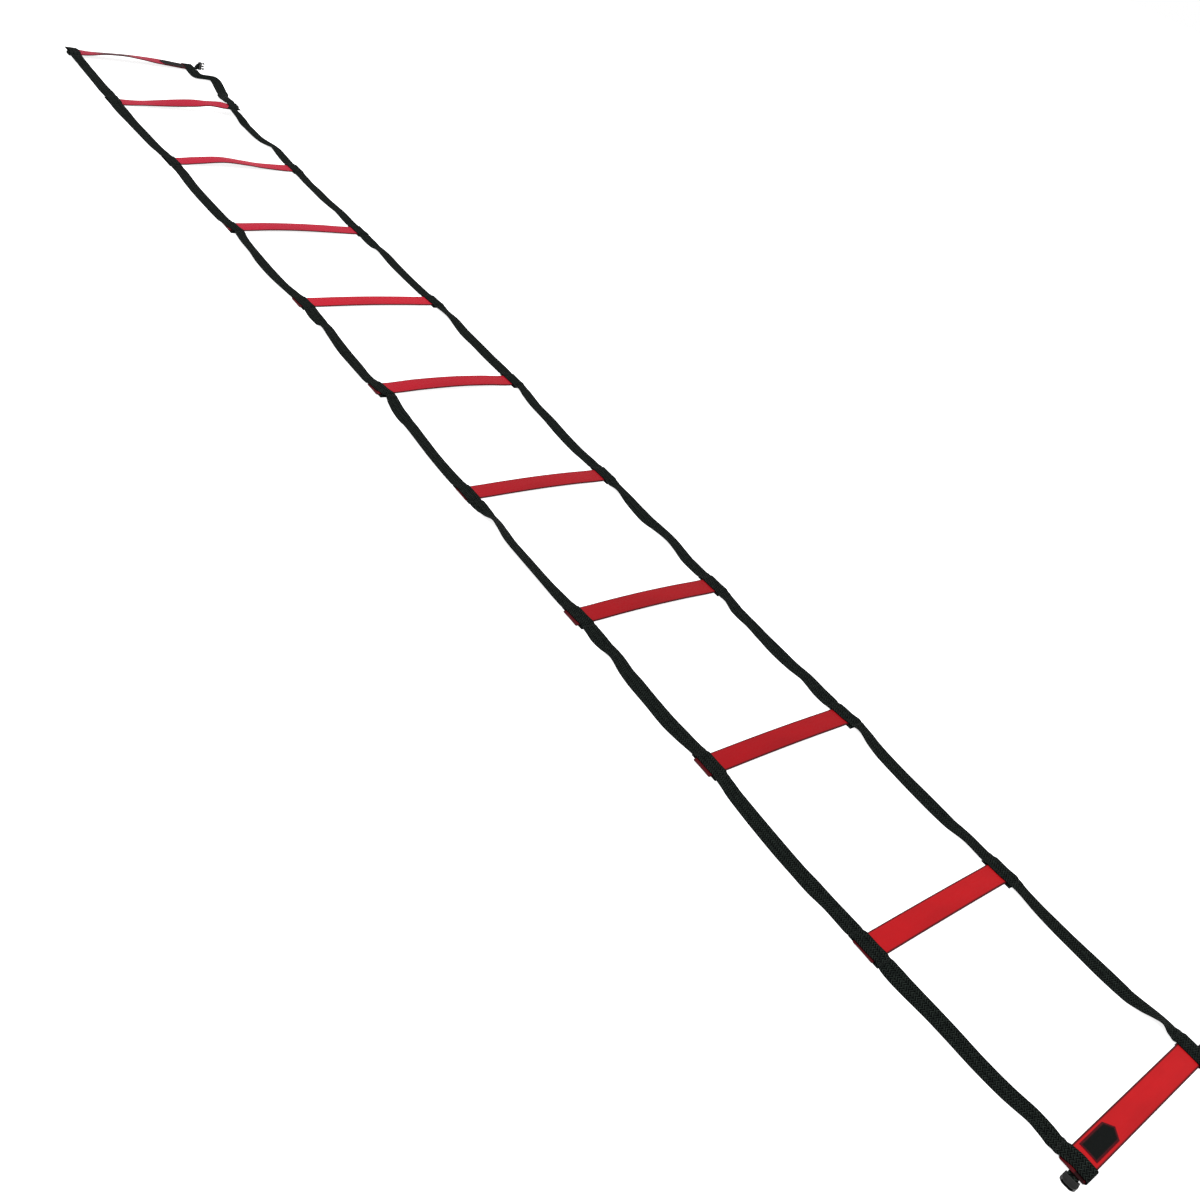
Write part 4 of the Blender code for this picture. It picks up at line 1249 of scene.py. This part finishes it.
@dataclass
class Tabs:
    """The narrow webbing tabs that hold the buckles, drawn as the model bends them."""

    layout: Layout
    material: bpy.types.Material
    width: float = 0.020
    root: float = 0.040  # how much of a tab is sewn in
    yaw: float = math.radians(6)  # how far the near tabs turn nearer
    near_set: float = 0.013  # how much nearer they lie than their slat's middle
    under_set: float = 0.007  # how far in from the far slat's left end its tab turns down
    bar_radius: float = 0.0015
    body_width: float = 0.0266
    socket_thickness: float = 0.0085
    plug_thickness: float = 0.0050
    twist_length: float = 0.010
    loop_turn: float = math.radians(285)  # how far a tab goes round its bar
    across_steps: int = 8
    root_steps: int = 16
    flat_steps: int = 10
    fall_steps: int = 6
    twist_steps: int = 14
    loop_steps: int = 28

    @property
    def ring(self) -> float:
        """The radius of the webbing's middle layer round a bar."""
        return self.bar_radius + self.layout.clearance + self.layout.half_web

    @property
    def ring_outer(self) -> float:
        """The radius of the webbing's outside round a bar."""
        return self.ring + self.layout.half_web

    @property
    def leg(self) -> float:
        """How high the tab lies on the strap's return, under the slat."""
        return self.layout.half_web + self.layout.layer

    def laid(self, corner: Vector, heading: float, path: Sequence[tuple[float, float]]) -> list[Station]:
        """Stands a tab's path on the floor.

        Args:
            corner: Where the tab comes out.
            heading: The way it runs from there, in radians from +X.
            path: Distances out from the corner, and heights.

        Returns:
            The tab's stations.
        """
        place = Matrix.Translation(corner) @ Matrix.Rotation(heading, 4, "Z")
        across = (place.to_3x3() @ Vector((0, -1, 0))).normalized()
        return [Station(place @ Vector((out, 0, z)), across) for out, z in path]

    def near(self, side: Side) -> list[Station]:
        """Draws a near tab: flat under the slat, round the socket's bar and back down to itself.

        Args:
            side: Which of the two.

        Returns:
            The tab's stations.
        """
        slot = self.layout.slots[LAST]
        strap_edge = self.layout.clear_width / 2 + self.layout.web_width
        # It comes clear of both the slat and the strap
        clear = self.layout.left_end if side is Side.LEFT else strap_edge
        corner = Vector((slot.x + side.value * clear, slot.y - self.near_set, 0))
        turn = self.socket_thickness / 2 + self.layout.clearance
        reach = turn / math.cos(self.yaw) + self.body_width / 2 * math.tan(self.yaw)
        start = -math.pi / 2
        steps = self.root_steps
        path = [(-self.root + self.root * at / steps, self.leg) for at in range(steps + 1)]
        foot = turn - self.ring
        for at in range(1, self.fall_steps):
            share = at / self.fall_steps
            path.append((reach * at / self.fall_steps, self.leg + (foot - self.leg) * smooth(share)))
        path += arc((reach, turn), self.ring, start, start + self.loop_turn, self.loop_steps)
        return self.laid(corner, -self.yaw if side is Side.RIGHT else math.pi + self.yaw, path)

    def folded(self) -> list[Station]:
        """Draws the far left tab: out from under the slat, down, and back in round the hidden plug's bar.

        Returns:
            The tab's stations.
        """
        slot = self.layout.slots[0]
        corner = Vector((slot.x - self.layout.left_end + self.under_set, slot.y, 0))
        leg = self.leg + slot.rise(corner.x)
        root = self.leg + slot.rise(corner.x + self.root)
        lie = self.ring_outer + self.layout.clearance
        out = self.plug_thickness / 2 + self.layout.clearance
        outer = out + self.ring
        bent = (outer, (leg + lie) / 2 + self.layout.web_thickness)
        knots = [(-self.root, root), (0, leg), (outer / 2, leg), bent]
        path = []
        for (u0, z0), (u1, z1) in zip(knots, knots[1:]):
            for at in range(self.fall_steps):
                path.append((u0 + (u1 - u0) * at / self.fall_steps, z0 + (z1 - z0) * at / self.fall_steps))
        path += arc((out, lie), self.ring, 0, -self.loop_turn, self.loop_steps)
        return self.laid(corner, math.pi, path)

    def twisted(self) -> list[Station]:
        """Draws the far right tab: flat under the slat, then turned on edge round the standing plug's bar.

        Returns:
            The tab's stations.
        """
        slot = self.layout.slots[0]
        corner = Vector((slot.right_end, slot.y, 0))
        reach, bar_height = self.twist_length + self.ring_outer, self.body_width / 2 + self.layout.clearance
        path = [(-self.root + self.root * at / self.flat_steps, 0.0) for at in range(self.flat_steps)]
        for at in range(self.twist_steps + 1):
            path.append((self.twist_length * at / self.twist_steps, at / self.twist_steps))
        found = []
        for out, turned in path:
            angle = math.pi / 2 * smooth(turned)
            across = Vector((0, -math.cos(angle), -math.sin(angle)))
            leg = self.leg + slot.rise(corner.x + out)
            height = leg + (bar_height - leg) * smooth(turned)
            found.append(Station(corner + Vector((out, -self.ring * smooth(turned), height)), across))
        start = -math.pi / 2
        for u, v in arc((reach, 0), self.ring, start, self.loop_turn + start, self.loop_steps):
            found.append(Station(corner + Vector((u, v, bar_height)), Vector((0, 0, -1))))
        return found

    def dress(self) -> None:
        """Builds the four tabs."""
        band = Band(self.width, self.layout.web_thickness, self.across_steps)
        tabs = {
            "near_left": (self.near(Side.LEFT), f"section_{LAST:02d}"),
            "near_right": (self.near(Side.RIGHT), f"section_{LAST:02d}"),
            "far_left": (self.folded(), "section_00"),
            "far_right": (self.twisted(), "section_00"),
        }
        for place, (stations, body) in tabs.items():
            mesh = Mesh()
            band.fill(mesh, stations, normals_of(stations), 0)
            made = mesh.to_object(f"corner_tab_{place}", self.material)
            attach(made, body)
            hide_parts(f"tab_{place}")
            log.info("%s holds its buckle", made.name)


# Sewing


@dataclass
class Thread:
    """Lockstitches, each a short bent length of thread that dips into the cloth at both ends."""

    radius: float = 0.00036
    pitch: float = 0.0032
    gap: float = 0.0006  # between one stitch and the next
    sides: int = 6
    steps: int = 5
    # In radii: how high a stitch bows, and how deep its ends are sunk
    bow_share: float = 1.5
    sunk_share: float = 0.9
    # How thick a stitch's ends are beside its middle
    end_share: float = 0.75

    def stitch(self, mesh: Mesh, start: Vector, end: Vector, up: Vector) -> None:
        """Adds one stitch.

        Args:
            mesh: What gets it.
            start: Where it leaves the cloth.
            end: Where it goes back in.
            up: The way out of the cloth.
        """
        beside = (end - start).normalized().cross(up).normalized()
        length = (end - start).length
        rings = []
        for at in range(self.steps + 1):
            share = at / self.steps
            bow = 1 - (2 * share - 1) ** 4
            centre = start.lerp(end, share) + up * (self.radius * (self.bow_share * bow - self.sunk_share))
            thick = self.radius * (self.end_share + (1 - self.end_share) * bow)
            ring = []
            for side in range(self.sides):
                angle = 2 * math.pi * side / self.sides
                point = centre + beside * (thick * math.cos(angle)) + up * (thick * math.sin(angle))
                turned_mm = 2 * math.pi * self.radius * side / self.sides / MM
                ring.append((point, (turned_mm, share * length / MM)))
            rings.append(ring)
        mesh.add_loft(rings)

    def row(self, mesh: Mesh, line: Callable[[float], tuple[Vector, Vector]], length: float) -> None:
        """Adds a row of stitches.

        Args:
            mesh: What gets them.
            line: Gives the point and the way up at a distance along the row.
            length: The row's length.
        """
        count = max(1, round(length / self.pitch))
        pitch = length / count
        for at in range(count):
            start, up = line(at * pitch + self.gap / 2)
            end, _ = line((at + 1) * pitch - self.gap / 2)
            self.stitch(mesh, start, end, up)


@dataclass
class Seams:
    """The rows of stitches beside every slat, which hold it in its pocket."""

    layout: Layout
    straps: Straps
    material: bpy.types.Material
    inset: float = 0.0015

    def dress(self) -> None:
        """Sews each crossing, the rows on both sides of a slat as one piece."""
        thread = Thread()
        for slot in self.layout.slots:
            for side in Side:
                mesh = Mesh()
                for way, bay in ((1, slot.index - 1), (-1, slot.index)):
                    if not 0 <= bay < LAST:
                        continue
                    for distance in self.straps.seam_rows:
                        self.sew(mesh, thread, self.straps.station(bay, side, slot.y + way * distance, 0))
                made = mesh.to_object(f"stitching_{side.word}_{slot.index:02d}", self.material)
                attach(made, slot.body)
                log.info("%s is sewn", made.name)

    def sew(self, mesh: Mesh, thread: Thread, station: Station) -> None:
        """Adds one row across the webbing.

        Args:
            mesh: What gets it.
            thread: How it is stitched.
            station: Where along the strap.
        """
        up = Vector((0, -1, 0)).cross(station.across).normalized()
        half = self.layout.web_width / 2 - self.inset
        top = station.middle + up * (self.layout.half_web * station.squeeze)
        thread.row(mesh, lambda gone: (top + station.across * (gone - half), up), 2 * half)


# Sewn patch


@dataclass
class Patch:
    """A bare pointed patch on an end slat, which is the left end as seen from outside the ladder."""

    layout: Layout
    slats: Slats
    material: bpy.types.Material
    thread: bpy.types.Material
    index: int
    set_near: float
    width: float
    length: float
    margin: float
    point: float = 0.0155
    thickness: float = 0.0005
    # Of the thickness: what the flat cloth has, and what the heat-cut rim adds
    flat_share: float = 0.82
    bead_share: float = 0.18
    rim: float = 0.0032
    seam_in: float = 0.0032
    # Of seam_in: how far the seam's tip and shoulders lie inside the patch's own
    tip_share: float = 1.3
    shoulder_share: float = 0.6
    # Of the thickness: how high the seam lies
    seam_height_share: float = 0.85
    rows: int = 28
    columns: int = 64

    def reach(self, across: float) -> float:
        """Where the patch ends to the right for a place across it, from its square end."""
        return self.length - self.point * abs(across) / (self.width / 2)

    def inward(self, along: float, across: float) -> float:
        """How far inside the patch's edge a point is.

        Args:
            along: Distance from its square end.
            across: Distance from its middle line.

        Returns:
            The distance to the nearest edge.
        """
        lean = math.hypot(self.point, self.width / 2)
        slant = (self.reach(across) - along) * (self.width / 2) / lean
        return min(along, self.width / 2 - abs(across), slant)

    def placed(self, along: float, across: float, up: float) -> Vector:
        """A point of the patch on the slat's crown.

        Args:
            along: Distance from its square end.
            across: Distance from its middle line.
            up: Height above its underside.

        Returns:
            The point in the model's frame.
        """
        way = 1 if self.index == LAST else -1
        start = -self.layout.clear_width / 2 + self.margin
        y = way * (across - self.set_near)
        top = self.layout.slat_height - self.slats.drop(y) + self.layout.clearance
        return self.slats.placed(self.layout.slots[self.index], way * (start + along), y, top + up)

    def build(self) -> tuple[Mesh, list[float]]:
        """Builds the patch's top and underside.

        Returns:
            Its mesh, and how much of the rim each point is.
        """
        mesh = Mesh()
        rims: list[float] = []
        for floor in (False, True):
            rings = []
            for row in range(self.rows + 1):
                across = self.width * (row / self.rows - 0.5)
                ring = []
                for column in range(self.columns + 1):
                    along = self.reach(across) * column / self.columns
                    # The rim is full up to half its width in, and gone at one and a half
                    near_edge = 1 - smooth(self.inward(along, across) / self.rim - 0.5)
                    up = 0.0 if floor else self.thickness * (self.flat_share + self.bead_share * near_edge)
                    ring.append((self.placed(along, across, up), (along / MM, across / MM)))
                    rims.append(near_edge)
                rings.append(ring)
            under = len(mesh.points)
            mesh.add_loft(rings[::-1] if floor else rings, closed=False, capped=False)
        self.close_edge(mesh, under)
        return mesh, rims

    def close_edge(self, mesh: Mesh, under: int) -> None:
        """Joins the patch's top to its underside all round.

        Args:
            mesh: The patch's mesh.
            under: The number of the underside's first point.
        """
        size = self.columns + 1
        top = list(range(size))
        top += [row * size + self.columns for row in range(1, self.rows + 1)]
        top += [self.rows * size + at for at in range(self.columns - 1, -1, -1)]
        top += [row * size for row in range(self.rows - 1, 0, -1)]
        mate = [under + (self.rows - at // size) * size + at % size for at in top]
        for at in range(len(top)):
            after = (at + 1) % len(top)
            mesh.faces.append((top[after], top[at], mate[at], mate[after]))

    def on_seam(self, start: Lay, end: Lay, gone: float) -> tuple[Vector, Vector]:
        """A place on one side of the seam.

        Args:
            start: Where the side starts, along and across the patch.
            end: Where it ends.
            gone: Distance from its start.

        Returns:
            The point there and the way up.
        """
        share = gone / math.dist(start, end)
        along, across = (a + (b - a) * share for a, b in zip(start, end, strict=True))
        return self.placed(along, across, self.thickness * self.seam_height_share), Vector((0, 0, 1))

    def seam(self) -> Mesh:
        """Builds the row of stitches inside the patch's edge.

        Returns:
            The stitches' mesh.
        """
        half = self.width / 2 - self.seam_in
        tip = self.length - self.seam_in * self.tip_share
        shoulder = self.reach(half) - self.seam_in * self.shoulder_share
        corners = [(self.seam_in, -half), (shoulder, -half), (tip, 0), (shoulder, half), (self.seam_in, half)]
        mesh, thread = Mesh(), Thread(radius=0.00025, pitch=0.0027)
        for start, end in zip(corners, corners[1:] + corners[:1], strict=True):
            thread.row(mesh, partial(self.on_seam, start, end), math.dist(start, end))
        return mesh

    def dress(self) -> None:
        """Builds the patch and its seam."""
        mesh, rims = self.build()
        made = mesh.to_object(f"sewn_patch_{self.index:02d}", self.material, sharp=50)
        made.data.attributes.new("rim", "FLOAT", "POINT").data.foreach_set("value", rims)
        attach(made, f"section_{self.index:02d}")
        if self.index == LAST:
            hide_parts("label_patch")
        seam = self.seam().to_object(f"sewn_patch_stitching_{self.index:02d}", self.thread)
        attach(seam, f"section_{self.index:02d}")
        log.info("%s is bare, with %s round it", made.name, seam.name)


# Buckles


@dataclass
class Buckles:
    """The moulded buckle halves, which keep the model's own shape."""

    material: bpy.types.Material
    nodes: tuple[str, ...] = (
        "buckle_female_near_left",
        "buckle_female_near_right",
        "buckle_male_far_left",
        "buckle_male_far_right",
    )

    def dress(self) -> None:
        """Gives each half its finish."""
        for name in self.nodes:
            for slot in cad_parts[name].material_slots:
                slot.link = "OBJECT"
                slot.material = self.material
            log.info("%s wears %s", name, self.material.name)


# Studio


@dataclass
class Studio:
    """A white floor, soft light and the photograph's camera."""

    eye: tuple[float, float, float] = (-1.8138, -2.2493, 1.5224)
    right: tuple[float, float, float] = (0.75523, -0.57783, 0.30941)
    up: tuple[float, float, float] = (0.17038, 0.62889, 0.75859)
    focal_pixels: float = 1180.8
    picture_pixels: float = 1200.0
    sensor_mm: float = 36.0
    seen_from: float = 0.05
    seen_to: float = 60
    floor_half: float = 30.0
    floor_drop: float = 0.0004
    floor_paint: str = "#f2f2f2"
    floor_glow: float = 0.8
    sky_fill: float = 0.72
    sun_aim: tuple[float, float, float] = (0.35, -0.25, -1)
    sun_spread: float = math.radians(50)
    sun_energy: float = 1.0

    def camera(self) -> None:
        """Sets up the camera where the photograph was taken from."""
        lens = bpy.data.cameras.new("photograph")
        lens.sensor_fit = "HORIZONTAL"
        lens.sensor_width = self.sensor_mm
        lens.lens = self.focal_pixels * self.sensor_mm / self.picture_pixels
        lens.clip_start, lens.clip_end = self.seen_from, self.seen_to
        made = new_object("photograph", lens)
        right = Vector(self.right).normalized()
        back = right.cross(Vector(self.up)).normalized()
        turn = Matrix((right, back.cross(right), back)).transposed().to_4x4()
        made.matrix_world = Matrix.Translation(self.eye) @ turn
        bpy.context.scene.camera = made

    def floor(self) -> None:
        """Lays a wide matt floor that looks white and keeps the ladder's shadow."""
        half = self.floor_half
        mesh = bpy.data.meshes.new("floor")
        corners = [(-half, -half, 0), (half, -half, 0), (half, half, 0), (-half, half, 0)]
        mesh.from_pydata(corners, [], [(0, 1, 2, 3)])
        made = new_object("floor", mesh)
        made.location.z = -self.floor_drop
        paint = bpy.data.materials.new("white_studio_floor")
        tree = emptied(paint)
        matt = add_node(tree, "BsdfDiffuse", {"Color": linear(self.floor_paint)})
        seen = add_node(tree, "LightPath").outputs
        rays = {0: seen["Is Camera Ray"], 1: seen["Is Glossy Ray"]}
        shown = add_node(tree, "Math", rays, operation="MAXIMUM")
        lifted = add_node(tree, "Math", {0: shown, 1: self.floor_glow}, operation="MULTIPLY")
        glow = add_node(tree, "Emission", {"Color": (1, 1, 1, 1), "Strength": lifted})
        add_node(tree, "OutputMaterial", {"Surface": add_node(tree, "AddShader", {0: matt, 1: glow})})
        mesh.materials.append(paint)

    def light(self) -> None:
        """Hangs one wide soft box and fills the rest from all round."""
        world = bpy.data.worlds.new("studio")
        bpy.context.scene.world = world
        tree = emptied(world)
        seen = add_node(tree, "LightPath").outputs["Is Camera Ray"]
        strength = add_node(tree, "MapRange", {"Value": seen, "To Min": self.sky_fill, "To Max": 1.0})
        sky = add_node(tree, "Background", {"Color": (1, 1, 1, 1), "Strength": strength})
        add_node(tree, "OutputWorld", {"Surface": sky})
        lamp = bpy.data.lights.new("soft_box", "SUN")
        lamp.angle = self.sun_spread
        lamp.energy = self.sun_energy
        made = new_object("soft_box", lamp)
        made.rotation_euler = Vector(self.sun_aim).to_track_quat("-Z", "Y").to_euler()

    def set_up(self) -> None:
        """Builds the whole studio."""
        self.camera()
        self.floor()
        self.light()
        bpy.context.scene.view_settings.view_transform = "Standard"


def main() -> None:
    """Builds the ladder's looks, in the order in which it would be sewn together."""
    logging.basicConfig(level=logging.INFO, format="%(message)s")
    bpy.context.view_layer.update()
    Studio().set_up()
    layout = Layout.from_frame()
    slats = Slats(layout, ExtrudedPolypropylene().material())
    slats.dress()
    webbing = WovenPolypropylene().material()
    straps = Straps(layout, webbing)
    straps.dress()
    Keepers(layout, webbing).dress()
    Tabs(layout, webbing).dress()
    thread = TwistedPolyester().material()
    Seams(layout, straps, thread).dress()
    satin = WovenPatch().material()
    patch = partial(Patch, layout, slats, satin, thread)
    patch(0, set_near=-0.001, width=0.044, length=0.096, margin=0.007).dress()
    patch(LAST, set_near=-0.0005, width=0.0365, length=0.092, margin=0.0126).dress()
    Buckles(MouldedAcetal().material()).dress()


if __name__ == "__main__":
    main()
